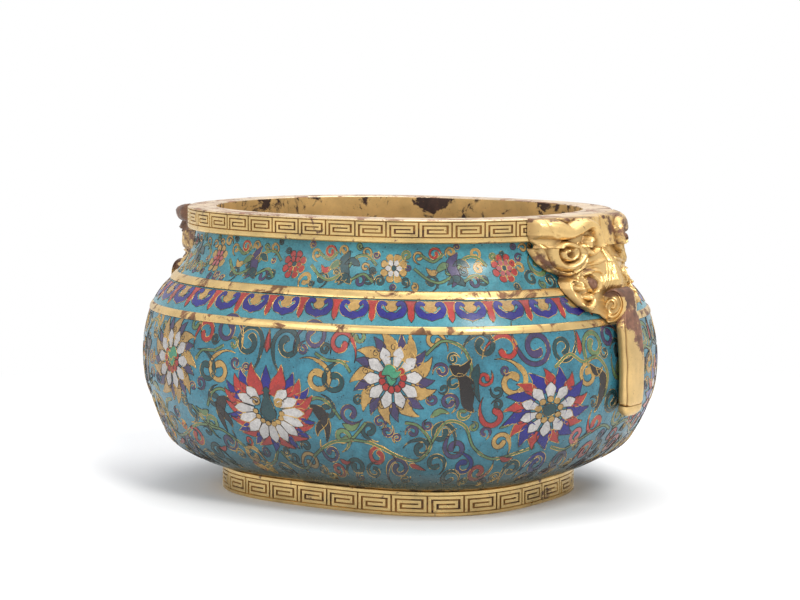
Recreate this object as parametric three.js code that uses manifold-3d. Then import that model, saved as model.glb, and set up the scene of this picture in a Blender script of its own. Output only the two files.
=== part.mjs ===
// Oval two-handled incense burner: a copper vessel with enamel fields held between gilt
// fillets, a gilt mouth ring and foot ring, and a cast gilt beast-mask handle on each end.
// Millimetres, +Z up, long axis along X, origin at the centre of the foot's resting face.
import * as THREE from "three";
import { mergeVertices } from "three/addons/utils/BufferGeometryUtils.js";
import Module from "manifold-3d";

const wasm = await Module();
wasm.setup();

// Driving dimensions
const height = 118;
const ovalSegments = 60;
const bellyRows = 8;
const lappetRows = 2;
const neckRows = 4;
const seat = 0.3;

const footHalfLength = 71.2;
const footNarrowing = 10.8;
const footHeight = 10;
const footWall = 4.2;

const bellyHalfLength = 108.5;
const shoulderSetback = 3.5;
const neckSetback = 2.9;
const bodyNarrowing = 16.4;
const bodyFlareAtFoot = 1.7;
const footSquareness = 2.8;
const bodySquareness = 2.3;
const bellyStartHeight = 40;

const enamelThickness = 1.5;
const copperWall = 3;
const floorThickness = 3;
const bellyRise = 1.5;
const basePlateThickness = 1.5;
const basePlateDrop = 1;

const upperFilletDrop = 19.3;
const lappetBand = 12.5;
const filletWidth = 3;
const filletProud = 0.4;

const mouthHalfLength = 90;
const mouthBandHeight = 9.3;
const lipWidth = 11.75;
const sleeveWall = 2;
const sleeveDrop = 10;
const lipBevel = 0.8;

const maskRise = 1.1;
const maskHalfWidth = 34;
const maskEdge = 1.4;
const maskStep = 3.6;
const reliefRadius = 1.5;
const reliefSink = 0.4;
const earRadius = 5;
const earHeart = 1.6;
const trunkHalfDepth = 2.6;
const trunkHalfWidth = 8.4;
const rollHalfDepth = 5.4;
const rollHalfHeight = 7.15;
const rollHalfWidth = 8.2;
const rollRise = 4.9;
const rollSink = 1;
const trunkDrop = 43.1;
const rollHubRadius = 3.6;
const rollHubProud = 0.6;
const rivetRadius = 1.8;
const rivetGrip = 2.5;
const rivetHeadRadius = 3.6;
const rivetHeadThickness = 1.6;
const rivetSpread = 14;
const rivetDrop = 0.8;
const capLength = 4;

// Worked out from the driving dimensions
const mouthBottom = height - mouthBandHeight;
const upperFilletHeight = mouthBottom - upperFilletDrop;
const lowerFilletHeight = upperFilletHeight - lappetBand;
const maskBottom = lowerFilletHeight + maskRise;
const shoulderHalfLength = bellyHalfLength - shoulderSetback;
const neckHalfLength = mouthHalfLength - neckSetback;
const bodyBottom = footHeight + seat;
const bodyTop = mouthBottom - seat;
const rivetHeight = mouthBottom - sleeveDrop - rivetHeadRadius - rivetDrop;
const copperInset = enamelThickness + seat;
const innerInset = copperInset + copperWall;

// The body's outline on its long axis, in three stretches. Each row is the share of the
// stretch's change in half length, and the share of its rise.
const bellyShape = [
  [0, 0],
  [0.188, 0.04],
  [0.528, 0.146],
  [0.73, 0.266],
  [0.879, 0.386],
  [0.966, 0.506],
  [0.997, 0.626],
  [1, 0.746],
  [0.972, 0.866],
];
const shoulderShape = [
  [0, 0],
  [0.229, 0.568],
];
const neckShape = [
  [0.508, 0],
  [0.777, 0.347],
  [0.939, 0.663],
  [1, 1],
];

function shapePoints(rows, fromLength, toLength, fromHeight, toHeight) {
  const { lerp } = THREE.MathUtils;
  return rows.map(
    ([x, z]) => new THREE.Vector2(lerp(fromLength, toLength, x), lerp(fromHeight, toHeight, z)),
  );
}

const footFlare = footHalfLength + bodyFlareAtFoot;
const outline = new THREE.SplineCurve([
  ...shapePoints(bellyShape, footFlare, bellyHalfLength, bodyBottom, lowerFilletHeight),
  ...shapePoints(
    shoulderShape,
    shoulderHalfLength,
    neckHalfLength,
    lowerFilletHeight,
    upperFilletHeight,
  ),
  ...shapePoints(neckShape, shoulderHalfLength, neckHalfLength, upperFilletHeight, bodyTop),
]);
const outlinePoints = outline.getPoints(260);

// Linear reading of a table of [key, value] rows.
function readTable(rows, key) {
  const after = rows.findIndex((row) => row[0] >= key);
  if (after < 0) return rows[rows.length - 1][1];
  if (after === 0) return rows[0][1];
  const [k0, v0] = rows[after - 1];
  const [k1, v1] = rows[after];
  return v0 + ((v1 - v0) * (key - k0)) / (k1 - k0);
}

const outlineTable = outlinePoints.map((point) => [point.y, point.x]);
const bodyHalfLength = (z) => readTable(outlineTable, z);

function blendFromFoot(z, atFoot, atBody) {
  const share = THREE.MathUtils.smoothstep(z, footHeight, bellyStartHeight);
  return THREE.MathUtils.lerp(atFoot, atBody, share);
}
const squareness = (z) => blendFromFoot(z, footSquareness, bodySquareness);

// The oval's half width; inside the foot's line it shrinks in step with the half length.
function halfWidth(halfLength, z) {
  const narrowing = blendFromFoot(z, footNarrowing, bodyNarrowing);
  if (halfLength >= footHalfLength - footWall) return halfLength - narrowing;
  const rimOfFloor = footHalfLength - footWall;
  return (halfLength * (rimOfFloor - narrowing)) / rimOfFloor;
}

function toSolid(geometry) {
  const bare = geometry.clone();
  bare.deleteAttribute("normal");
  bare.deleteAttribute("uv");
  const merged = mergeVertices(bare, 1e-4);
  return new wasm.Manifold(
    new wasm.Mesh({
      numProp: 3,
      vertProperties: merged.attributes.position.array,
      triVerts: new Uint32Array(merged.index.array),
    }),
  );
}

function toGeometry(solid) {
  const mesh = solid.getMesh();
  const geometry = new THREE.BufferGeometry();
  geometry.setAttribute("position", new THREE.BufferAttribute(mesh.vertProperties, 3));
  geometry.setIndex(new THREE.BufferAttribute(mesh.triVerts, 1));
  geometry.computeVertexNormals();
  return geometry;
}

function moveVertices(geometry, place) {
  const position = geometry.attributes.position;
  for (let i = 0; i < position.count; i++) {
    position.setXYZ(i, ...place(position.getX(i), position.getY(i), position.getZ(i)));
  }
  return geometry;
}

// A profile of [half length, height] points swept round the oval, with its faces outwards.
function sweepOval(profile) {
  const points = profile.map(([r, z]) => new THREE.Vector2(r, z));
  const area = THREE.ShapeUtils.area(points);
  if (area < 0) points.reverse();
  const lathe = new THREE.LatheGeometry(points, ovalSegments);
  return moveVertices(lathe, (x, z, y) => {
    const r = Math.hypot(x, y);
    if (r < 1e-6) return [0, 0, z];
    const power = 2 / squareness(z);
    const c = y / r;
    const s = x / r;
    return [
      r * Math.sign(c) * Math.abs(c) ** power,
      halfWidth(r, z) * Math.sign(s) * Math.abs(s) ** power,
      z,
    ];
  });
}

const closeProfile = (profile) => [...profile, profile[0]];

const lowerFilletTop = lowerFilletHeight + filletWidth / 2;
const lowerFilletBottom = lowerFilletHeight - filletWidth / 2;
const upperFilletTop = upperFilletHeight + filletWidth / 2;
const upperFilletBottom = upperFilletHeight - filletWidth / 2;
const bellyStart = bodyBottom + bellyRise;

function evenHeights(from, to, count) {
  return Array.from({ length: count + 1 }, (_, i) => THREE.MathUtils.lerp(from, to, i / count));
}

// Heights at which the body's layers all have a vertex row, so that the layers stay parallel.
const rowHeights = [
  ...evenHeights(bellyStart, lowerFilletBottom - seat, bellyRows),
  lowerFilletBottom,
  lowerFilletTop,
  ...evenHeights(lowerFilletTop + seat, upperFilletBottom - seat, lappetRows),
  upperFilletBottom,
  upperFilletTop,
  ...evenHeights(upperFilletTop + seat, bodyTop, neckRows),
];

function layerHalfLength(inset, z) {
  const rise = 0.5;
  const slope = (bodyHalfLength(z + rise) - bodyHalfLength(z - rise)) / (2 * rise);
  return bodyHalfLength(z) - inset * Math.min(Math.hypot(1, slope), 1.6);
}

// The outline moved inwards along its normal, between two heights.
function insetOutline(inset, fromHeight, toHeight) {
  const between = rowHeights.filter((z) => z > fromHeight + 0.01 && z < toHeight - 0.01);
  return [fromHeight, ...between, toHeight].map((z) => [layerHalfLength(inset, z), z]);
}

function skin(outsideInset, insideInset, fromHeight, toHeight) {
  const outside = insetOutline(outsideInset, fromHeight, toHeight);
  const inside = insetOutline(insideInset, fromHeight, toHeight);
  return sweepOval(closeProfile([...outside, ...inside.reverse()]));
}

const enamelField = (from, to) => skin(0, enamelThickness, from, to);
const filletRing = (from, to) => skin(-filletProud, enamelThickness, from, to);

function copperVessel() {
  const floorTop = bodyBottom + floorThickness;
  return sweepOval([
    [0, bodyBottom],
    [footHalfLength - footWall, bodyBottom],
    [footHalfLength, bodyBottom],
    ...insetOutline(copperInset, bellyStart, bodyTop),
    ...insetOutline(innerInset, floorTop + bellyRise, bodyTop).reverse(),
    [footHalfLength - footWall, floorTop],
    [0, floorTop],
  ]);
}

function mouthRing() {
  const opening = mouthHalfLength - lipWidth;
  const neckInside = bodyHalfLength(bodyTop) - innerInset;
  const sleeveOutside = Math.min(opening + sleeveWall, neckInside - seat);
  return sweepOval(
    closeProfile([
      [opening, height],
      [mouthHalfLength - lipBevel, height],
      [mouthHalfLength, height - lipBevel],
      [mouthHalfLength, mouthBottom + lipBevel],
      [mouthHalfLength - lipBevel, mouthBottom],
      [sleeveOutside, mouthBottom],
      [sleeveOutside, mouthBottom - sleeveDrop],
      [opening, mouthBottom - sleeveDrop],
    ]),
  );
}

function footRing() {
  const inner = footHalfLength - footWall;
  return sweepOval(
    closeProfile([
      [inner, 0],
      [footHalfLength, 0],
      [footHalfLength, footHeight],
      [inner, footHeight],
    ]),
  );
}

function basePlate() {
  const top = footHeight - basePlateDrop;
  const edge = footHalfLength - footWall - seat;
  return sweepOval([
    [0, top - basePlateThickness],
    [edge, top - basePlateThickness],
    [edge, top],
    [0, top],
  ]);
}

// X of a point on the oval with the given half length, from its Y and Z.
function ovalX(halfLength, y, z) {
  const n = squareness(z);
  return halfLength * (1 - Math.abs(y / halfWidth(halfLength, z)) ** n) ** (1 / n);
}

// X of the mask's back, a clearance outside the fillets and the mouth ring.
function backingX(y, z) {
  const underLip = z > mouthBottom - maskStep;
  const outside = underLip ? mouthHalfLength : bodyHalfLength(z) + filletProud;
  return ovalX(outside, y, z) + seat;
}

// The mask is drawn in shares of its own height and half width: first its half span by
// height, then its crown over the edge thickness.
const maskSpan = [
  [0, 0.31],
  [0.05, 0.4],
  [0.09, 0.58],
  [0.15, 0.665],
  [0.31, 0.71],
  [0.41, 0.64],
  [0.475, 0.765],
  [0.65, 0.91],
  [0.85, 0.99],
  [1, 0.99],
];
const maskCrown = [
  [0, 0.032],
  [0.15, 0.126],
  [0.25, 0.203],
  [0.375, 0.291],
  [0.45, 0.309],
  [0.55, 0.315],
  [0.7, 0.285],
  [0.85, 0.232],
  [1, 0.203],
];

const maskHeight = height - maskBottom;
const maskShare = (z) => (z - maskBottom) / maskHeight;
const maskHalfSpan = (z) => maskHalfWidth * readTable(maskSpan, maskShare(z));
const onMask = ([y, z]) => [y * maskHalfWidth, maskBottom + z * maskHeight];

function maskFront(y, z) {
  const share = Math.min(1, Math.abs(y) / maskHalfSpan(z));
  const crown = maskHalfWidth * readTable(maskCrown, maskShare(z));
  return backingX(y, z) + maskEdge + crown * (1 - share ** 2);
}

function maskPlate() {
  const rows = Math.round((height - maskBottom) / maskStep);
  const box = new THREE.BoxGeometry(1, 2, 1, 1, 14, rows);
  return moveVertices(box, (x, y, z) => {
    const level = THREE.MathUtils.lerp(maskBottom, height, z + 0.5);
    const across = y * maskHalfSpan(level);
    return [x > 0 ? maskFront(across, level) : backingX(across, level), across, level];
  });
}

function closedOutline(halfX, halfY, sides) {
  const shape = new THREE.Shape();
  shape.absellipse(0, 0, halfX, halfY, 0, Math.PI * 2);
  return new THREE.Shape(shape.getSpacedPoints(sides).slice(0, sides));
}

function tubeAlong(curve, steps, halfX, halfY, sides) {
  return new THREE.ExtrudeGeometry(closedOutline(halfX, halfY, sides), {
    steps,
    extrudePath: curve,
    bevelEnabled: false,
  });
}

// A raised scroll that lies on the mask along the given points of its drawing.
function relief(points, side, radius, steps) {
  const path = points
    .map(onMask)
    .map(([y, z]) => new THREE.Vector3(maskFront(y, z) - reliefSink, side * y, z));
  return tubeAlong(new THREE.CatmullRomCurve3(path), steps, radius, radius, 6);
}

function spiral([centreY, centreZ], outerRadius, innerRadius, turns, startAngle) {
  const points = [];
  const count = Math.round(turns * 10);
  for (let i = 0; i <= count; i++) {
    const share = i / count;
    const angle = startAngle + share * turns * Math.PI * 2;
    const r = THREE.MathUtils.lerp(outerRadius, innerRadius, share);
    points.push([
      centreY + (r * Math.cos(angle)) / maskHalfWidth,
      centreZ + (r * Math.sin(angle)) / maskHeight,
    ]);
  }
  return points;
}

const browScroll = [
  [0.926, 0.895],
  [0.756, 0.888],
  [0.638, 0.86],
  [0.544, 0.89],
  [0.418, 0.935],
  [0.315, 0.925],
  [0.259, 0.86],
  [0.25, 0.775],
  [0.262, 0.68],
  [0.356, 0.643],
  [0.405, 0.695],
];
const cheekScroll = [
  [0.575, 0.345],
  [0.6, 0.39],
  [0.65, 0.345],
  [0.655, 0.24],
  [0.61, 0.145],
  [0.51, 0.14],
  [0.455, 0.2],
  [0.51, 0.24],
];
const earSpiral = spiral([0.6, 0.635], earRadius, earHeart, 1.5, 2.4);
const browLobe = [0.38, 0.89];
const eyePlace = [0.412, 0.365];

// The roll at the mask's foot, and the trunk's centre line from there to its curled-in end.
// Each row is the share of the trunk's drop, and its clearance from the belly.
const rollHeight = maskBottom + rollRise;
const rollX = backingX(0, rollHeight) + rollHalfDepth - rollSink;
const rollCentre = new THREE.Vector3(rollX, 0, rollHeight);
const trunkHang = [
  [0.12, 2.1],
  [0.295, 0.9],
  [0.527, 0.35],
  [0.712, 0.35],
  [0.875, 0.45],
  [1, 0.7],
];
const trunkLine = new THREE.CatmullRomCurve3([
  rollCentre,
  ...trunkHang.map(([share, clearance]) => {
    const z = rollHeight - share * trunkDrop;
    return new THREE.Vector3(bodyHalfLength(z) + clearance + trunkHalfDepth, 0, z);
  }),
]);

// A stretch of a longer line, between two shares of its length.
class Stretch extends THREE.Curve {
  constructor(line, from, to) {
    super();
    this.line = line;
    this.from = from;
    this.to = to;
  }
  getPoint(t, target = new THREE.Vector3()) {
    return this.line.getPointAt(THREE.MathUtils.lerp(this.from, this.to, t), target);
  }
}

// The trunk's half width as a share of its full one, by share of its drop.
const trunkTaper = [
  [0, 1],
  [0.13, 1.03],
  [0.6, 0.98],
  [0.9, 0.82],
  [1, 0.68],
];

const trunkLength = trunkLine.getLength();
const rootEnd = (rollHalfHeight + 1) / trunkLength;
const capStart = 1 - capLength / trunkLength;
const gapShare = seat / trunkLength;

function trunkPiece(from, to, steps) {
  const stretch = new Stretch(trunkLine, from, to);
  const strap = tubeAlong(stretch, steps, trunkHalfWidth, trunkHalfDepth, 14);
  return moveVertices(strap, (x, y, z) => {
    const drop = (rollHeight - z) / trunkDrop;
    return [x, y * readTable(trunkTaper, drop), z];
  });
}

function alongX(radius, length, x, y, z) {
  const pin = new THREE.CylinderGeometry(radius, radius, length, 16);
  return pin.rotateZ(Math.PI / 2).translate(x, y, z);
}

const lowerRivetHeight = (lowerFilletTop + upperFilletBottom) / 2;
const rivetPlaces = [
  [-rivetSpread, rivetHeight],
  [rivetSpread, rivetHeight],
  [0, lowerRivetHeight],
];
const shankEnd = (y, z) => backingX(y, z) + rivetGrip;

// X of a rivet head's flat face, clear of the copper wall all over the head.
function headFace(y, z) {
  const top = z + rivetHeadRadius;
  return ovalX(layerHalfLength(innerInset, top), Math.abs(y) + rivetHeadRadius, top) - 2 * seat;
}

function rivet([y, z]) {
  const face = headFace(y, z);
  const length = shankEnd(y, z) - seat - face;
  const shank = alongX(rivetRadius, length, face + length / 2, y, z);
  const headX = face - rivetHeadThickness / 2 + 0.05;
  const head = alongX(rivetHeadRadius, rivetHeadThickness, headX, y, z);
  return toGeometry(toSolid(shank).add(toSolid(head)));
}

function rivetHole([y, z]) {
  const from = headFace(y, z) - rivetHeadThickness;
  const length = shankEnd(y, z) - from;
  return toSolid(alongX(rivetRadius + seat, length, from + length / 2, y, z));
}

function drillForRivets(geometry) {
  let solid = toSolid(geometry);
  for (const place of rivetPlaces) {
    const hole = rivetHole(place);
    solid = solid.subtract(hole).subtract(hole.rotate([0, 0, 180]));
  }
  return toGeometry(solid);
}

function rootRoll() {
  const roll = new THREE.CylinderGeometry(1, 1, 2 * rollHalfWidth, 22);
  roll.scale(rollHalfDepth, 1, rollHalfHeight);
  const hubWidth = 2 * (rollHalfWidth + rollHubProud);
  const hub = new THREE.CylinderGeometry(rollHubRadius, rollHubRadius, hubWidth, 14);
  return [roll, hub].map((piece) =>
    moveVertices(piece.translate(...rollCentre), (x, y, z) => [
      Math.max(x, backingX(y, z) + rollSink),
      y,
      z,
    ]),
  );
}

function maskCasting() {
  const features = [trunkPiece(0, rootEnd, 3), ...rootRoll()];
  for (const side of [-1, 1]) {
    const [lobeY, lobeZ] = onMask(browLobe);
    const lobe = new THREE.SphereGeometry(1, 12, 8).scale(3.2, 5, 3.8);
    lobe.translate(maskFront(lobeY, lobeZ) - 0.6, side * lobeY, lobeZ);
    const [eyeY, eyeZ] = onMask(eyePlace);
    const eye = new THREE.SphereGeometry(1, 10, 8).scale(2.4, 2.4, 3.4);
    eye.translate(maskFront(eyeY, eyeZ) - 0.2, side * eyeY, eyeZ);
    features.push(
      lobe,
      eye,
      relief(browScroll, side, reliefRadius + 0.3, 13),
      relief(earSpiral, side, reliefRadius, 18),
      relief(cheekScroll, side, reliefRadius, 15),
    );
  }
  let solid = toSolid(maskPlate());
  for (const feature of features) solid = solid.add(toSolid(feature));
  for (const place of rivetPlaces) solid = solid.subtract(rivetHole(place));
  return toGeometry(solid);
}

const gilt = { color: 0xd9a441, roughness: 0.32, metalness: 1 };
const finishes = {
  gilt: new THREE.MeshStandardMaterial(gilt),
  copper: new THREE.MeshStandardMaterial({ color: 0xb98a3c, roughness: 0.4, metalness: 1 }),
  enamel: new THREE.MeshStandardMaterial({ color: 0x3f9fb0, roughness: 0.35, metalness: 0 }),
};

const burner = new THREE.Group();

function addPiece(name, geometry, material) {
  const mesh = new THREE.Mesh(geometry, material);
  mesh.name = name;
  burner.add(mesh);
  return mesh;
}

addPiece("copper_vessel", drillForRivets(copperVessel()), finishes.copper);
addPiece("belly_enamel", enamelField(bellyStart, lowerFilletBottom - seat), finishes.enamel);
addPiece(
  "lappet_enamel",
  drillForRivets(enamelField(lowerFilletTop + seat, upperFilletBottom - seat)),
  finishes.enamel,
);
addPiece(
  "neck_enamel",
  drillForRivets(enamelField(upperFilletTop + seat, bodyTop)),
  finishes.enamel,
);
addPiece("lower_fillet", filletRing(lowerFilletBottom, lowerFilletTop), finishes.gilt);
addPiece("upper_fillet", filletRing(upperFilletBottom, upperFilletTop), finishes.gilt);
addPiece("mouth_ring", mouthRing(), finishes.gilt);
addPiece("foot_ring", footRing(), finishes.gilt);
addPiece("base_plate", basePlate(), finishes.copper);

for (const [side, turn] of [["right", 0], ["left", Math.PI]]) {
  const pieces = [
    ["mask", maskCasting()],
    ["trunk", trunkPiece(rootEnd + gapShare, capStart, 9)],
    ["trunk_cap", trunkPiece(capStart + gapShare, 1, 3)],
    ...rivetPlaces.map((place, i) => [`rivet_${i + 1}`, rivet(place)]),
  ];
  for (const [name, geometry] of pieces) {
    addPiece(`${side}_handle_${name}`, geometry, finishes.gilt).rotation.z = turn;
  }
}

export default burner;
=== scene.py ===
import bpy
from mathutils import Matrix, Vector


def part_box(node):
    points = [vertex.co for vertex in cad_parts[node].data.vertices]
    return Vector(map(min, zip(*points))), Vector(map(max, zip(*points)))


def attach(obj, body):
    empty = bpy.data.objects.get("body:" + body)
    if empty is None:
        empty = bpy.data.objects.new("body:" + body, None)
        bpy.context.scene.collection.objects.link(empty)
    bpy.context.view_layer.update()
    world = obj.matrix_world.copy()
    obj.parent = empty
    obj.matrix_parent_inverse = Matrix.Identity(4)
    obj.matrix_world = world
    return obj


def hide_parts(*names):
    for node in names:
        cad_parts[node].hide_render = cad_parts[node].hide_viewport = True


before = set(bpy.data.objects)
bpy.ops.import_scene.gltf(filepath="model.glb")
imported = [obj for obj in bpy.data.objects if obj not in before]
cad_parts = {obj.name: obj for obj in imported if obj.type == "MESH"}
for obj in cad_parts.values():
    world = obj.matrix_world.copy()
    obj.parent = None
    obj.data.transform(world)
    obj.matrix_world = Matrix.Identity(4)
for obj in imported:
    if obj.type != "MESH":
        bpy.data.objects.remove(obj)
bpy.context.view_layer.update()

import math
import bmesh
import bpy
import numpy as np
from mathutils import Vector

# Copper vessel: the bowl that carries everything else, hammered from copper, about 3 mm
# thick and fire-gilded inside. Its wall follows the enamel's outline on the outside, and
# its floor closes the foot. Brown patches show where soot and wear took the gilding.
MM = 0.001
FOOT, FOOT_WALL, MOUTH, TOP = 71.2, 4.2, 90.0, 118.0
BODY_BOTTOM, BODY_TOP = 10.3, 108.4
OUTLINE = [(72.9, BODY_BOTTOM), (79.6, 13), (91.7, 20), (98.9, 28), (104.2, 36), (107.3, 44),
           (108.4, 52), (108.5, 60), (107.5, 68), (105, 76.9), (100.9, 84), (95.9, 89.4),
           (91.1, 96), (88.2, 102), (87.1, BODY_TOP)]
FOOT_NARROWER, BODY_NARROWER = 10.8, 16.4
FOOT_SQUARENESS, BODY_SQUARENESS = 2.8, 2.3
EASE_FROM, EASE_OVER = 10, 30
COPPER_OUTSIDE, COPPER_INSIDE = 2.6, 5.4
OUTSIDE_FROM, INSIDE_FROM, WALL_ROWS = 12, 16, 40
FLOOR, FLOOR_EDGE, FLOOR_ROUND = 13.3, 13.9, 6
AROUND, VESSEL_AROUND = 480, 240
TINY, SPECK, SAME_PLACE = 1e-6, 1e-9, 1e-4


def smooth_line(points, per_span):
    """A smooth line through the points, with so many steps from each to the next."""
    p = np.asarray(points, float)
    q = np.vstack([p[:1], p, p[-1:]])
    t = np.linspace(0, 1, per_span, endpoint=False)[:, None]
    out = []
    for a, b, c, d in zip(q, q[1:], q[2:], q[3:]):
        m0 = (c - a) / 2
        m1 = (d - b) / 2
        out.append((2 * b - 2 * c + m0 + m1) * t**3
                   + (3 * c - 3 * b - 2 * m0 - m1) * t**2 + m0 * t + b)
    return np.vstack(out + [p[-1:]])


WALL_LINE = smooth_line(OUTLINE, 26)


def body_half_length(z):
    """The body's half length at a height, to the face of the enamel."""
    return np.interp(z, WALL_LINE[:, 1], WALL_LINE[:, 0])


def from_foot(z, at_foot, at_body):
    """A value that eases with the height from the foot's to the body's."""
    t = np.clip((np.asarray(z, float) - EASE_FROM) / EASE_OVER, 0, 1)
    return at_foot + (at_body - at_foot) * t * t * (3 - 2 * t)


def oval(phi, a, z):
    """Points on the oval of half length a at height z, at polar angles phi."""
    narrower = from_foot(z, FOOT_NARROWER, BODY_NARROWER)
    n = from_foot(z, FOOT_SQUARENESS, BODY_SQUARENESS)
    inner = FOOT - FOOT_WALL
    b = np.where(a >= inner, a - narrower, a * (inner - narrower) / inner)
    a, b = np.maximum(a, TINY), np.maximum(b, TINY)
    c, s = np.cos(phi), np.sin(phi)
    r = (np.abs(c / a) ** n + np.abs(s / b) ** n) ** (-1 / n)
    return np.stack(np.broadcast_arrays(r * c, r * s, np.asarray(z, float)), -1)


def make_mesh(name, verts, faces, materials, slots=None, sharp=40, **attributes):
    """A mesh object from points in millimetres, smooth but for its sharp edges.

    Points in the same place are joined, which closes poles and seams, and faces turn outwards.
    """
    mesh = bpy.data.meshes.new(name)
    mesh.from_pydata((np.asarray(verts) * MM).tolist(), [], faces)
    for m in materials:
        mesh.materials.append(m)
    mesh.polygons.foreach_set("use_smooth", [True] * len(mesh.polygons))
    if slots is not None:
        mesh.polygons.foreach_set("material_index", np.asarray(slots, np.int32))
    for key, values in attributes.items():
        layer = mesh.attributes.new(key, "FLOAT", "POINT")
        layer.data.foreach_set("value", np.asarray(values, np.float32))
    shell = bmesh.new()
    shell.from_mesh(mesh)
    bmesh.ops.remove_doubles(shell, verts=shell.verts, dist=SAME_PLACE * MM)
    bmesh.ops.recalc_face_normals(shell, faces=shell.faces)
    shell.to_mesh(mesh)
    shell.free()
    mesh.set_sharp_from_angle(angle=math.radians(sharp))
    mesh.validate()
    piece = bpy.data.objects.new(name, mesh)
    bpy.context.scene.collection.objects.link(piece)
    return piece


def fitted(piece, node=None):
    """Fixes a piece to the burner and hides the solid that it stands for, if one is given."""
    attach(piece, "root")
    if node:
        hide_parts(node)


def grid_faces(rows, columns, wrap=False):
    """Quads between rows of points, each row closed on itself if wrap is true."""
    i = np.arange(rows - 1)[:, None]
    j = np.arange(columns if wrap else columns - 1)[None, :]
    k = (j + 1) % columns
    quad = [i * columns + j, i * columns + k, (i + 1) * columns + k, (i + 1) * columns + j]
    return np.stack(np.broadcast_arrays(*quad), -1).reshape(-1, 4).tolist()


def angles(count):
    """A full turn in equal steps."""
    return np.linspace(0, 2 * np.pi, count, endpoint=False)


def sweep(profile, around=AROUND):
    """Points and faces of a profile of (half length, height) swept round the oval."""
    points = np.vstack([oval(angles(around), a, z) for a, z in profile])
    return points, grid_faces(len(profile), around, wrap=True)


def linear(rgb):
    """A colour of 0 to 255 as the linear light that the nodes take."""
    c = np.asarray(rgb, float) / 255
    return (*np.where(c <= 0.04045, c / 12.92, ((c + 0.055) / 1.055) ** 2.4), 1.0)


def shade(rgb, strength):
    """A colour made darker or brighter, as linear light."""
    return linear([min(255, c * strength) for c in rgb])


class Nodes:
    """The node tree of a material or a world, with short ways to add to it."""

    def __init__(self, owner):
        owner.use_nodes = True
        self.tree = owner.node_tree

    def put(self, socket, value):
        """Links an output to the socket, or sets the socket to a plain value."""
        if isinstance(value, bpy.types.NodeSocket):
            self.tree.links.new(value, socket)
        else:
            socket.default_value = value

    def feed(self, node, **inputs):
        """Fills a node's inputs by name, with _ for each space."""
        for name, value in inputs.items():
            self.put(node.inputs[name.replace("_", " ")], value)
        return node

    def add(self, kind, **inputs):
        return self.feed(self.tree.nodes.new("ShaderNode" + kind), **inputs)

    def maths(self, operation, a, b):
        node = self.add("Math")
        node.operation = operation
        for socket, value in zip(node.inputs, (a, b)):
            self.put(socket, value)
        return node.outputs[0]

    def map_range(self, value, low, high):
        """0 where the value is low, 1 where it is high."""
        return self.add("MapRange", Value=value, From_Min=low, From_Max=high).outputs["Result"]


class Finish(Nodes):
    """A material whose patterns read Object coordinates."""

    def __init__(self, name):
        self.material = bpy.data.materials.new(name)
        super().__init__(self.material)
        self.shader = self.tree.nodes["Principled BSDF"]
        self.coords = self.add("TexCoord").outputs["Object"]

    def noise(self, scale, detail, roughness=0.55, distortion=0.0):
        return self.add("TexNoise", Vector=self.coords, Scale=scale, Detail=detail,
                        Roughness=roughness, Distortion=distortion).outputs["Fac"]

    def attribute(self, name):
        node = self.add("Attribute")
        node.attribute_name = name
        return node.outputs["Fac"]

    def ramp(self, value, stops):
        node = self.add("ValToRGB", Fac=value)
        elements = node.color_ramp.elements
        while len(elements) < len(stops):
            elements.new(0.5)
        for element, (at, colour) in zip(elements, stops):
            element.position = at
            element.color = colour if isinstance(colour, tuple) else (colour,) * 3 + (1,)
        return node.outputs["Color"]

    def mix(self, share, a, b, mode="MIX"):
        node = self.add("Mix", Factor=share)
        node.data_type = "RGBA"
        node.blend_type = mode
        colour_a, colour_b, result = node.inputs[6], node.inputs[7], node.outputs[2]
        self.put(colour_a, a)
        self.put(colour_b, b)
        return result

    def bump(self, height, strength):
        node = self.add("Bump", Height=height, Strength=strength, Distance=0.2 * MM)
        self.feed(self.shader, Normal=node.outputs["Normal"])

    def height(self, low, high):
        """0 at height low and 1 at height high, in metres."""
        return self.map_range(self.add("SeparateXYZ", Vector=self.coords).outputs["Z"], low, high)


def gilding(name, gold, brown_colour, wear, rough=0.3, metal=0.9, patches=120, cast=False):
    """Fire gilding: satin gold, rubbed through to brown where a noise passes a given level.

    A cast piece has two attributes: one darkens it to brown with grime and painted shade, the other
    bares the bronze where it is worn and also browns it as painted shade.
    """
    n = Finish(name)
    tone = n.ramp(n.noise(70, 6, 0.62), [(0.32, shade(gold, 0.84)), (0.68, linear(gold))])
    patch = n.noise(patches, 9, 0.68, 0.6)
    if cast:
        # The second attribute adds wear and painted shade to the noise, so shaded places turn brown
        # as well as worn ones.
        patch = n.maths("ADD", patch, n.maths("MULTIPLY", n.attribute("wear"), 0.3))
    patch_edge = 0.1 if cast else 0.045
    worn_and_shaded_share = n.ramp(patch, [(wear, 0.0), (wear + patch_edge, 1.0)])
    brown_tone = n.ramp(n.noise(240, 5, 0.6), [(0.36, shade(brown_colour, 0.78)), (0.66, shade(brown_colour, 1.2))])
    colour = n.mix(worn_and_shaded_share, tone, brown_tone)
    specks = n.ramp(n.noise(900, 4, 0.7), [(0.64, 0.0), (0.7, 0.8)])
    colour = n.mix(specks, colour, linear((118, 84, 52)))
    if cast:
        # Painted shade and grime: the first attribute's hollows, edges and flanks are darkened to
        # brown.
        painted_shade_and_grime = n.maths("MULTIPLY", n.attribute("recess"), 0.85)
        colour = n.mix(painted_shade_and_grime, colour, linear((112, 74, 40)))
    polish = n.mix(worn_and_shaded_share, n.noise(260, 5), (0.95, 0.95, 0.95, 1))
    n.feed(n.shader, Base_Color=colour,
           Metallic=n.ramp(worn_and_shaded_share, [(0.0, metal), (1.0, 0.3)]),
           Roughness=n.ramp(polish, [(0.3, rough - 0.05), (0.7, rough + 0.08), (1.0, rough + 0.18)]))
    n.bump(n.noise(700, 5, 0.6), 0.14)
    return n.material


GOLD = (230, 198, 134)
WORN = (98, 66, 56)
inside_gilding = gilding("worn_gilding_inside", (216, 174, 106), (62, 42, 34), 0.515, 0.42, 0.6, 60)

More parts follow.
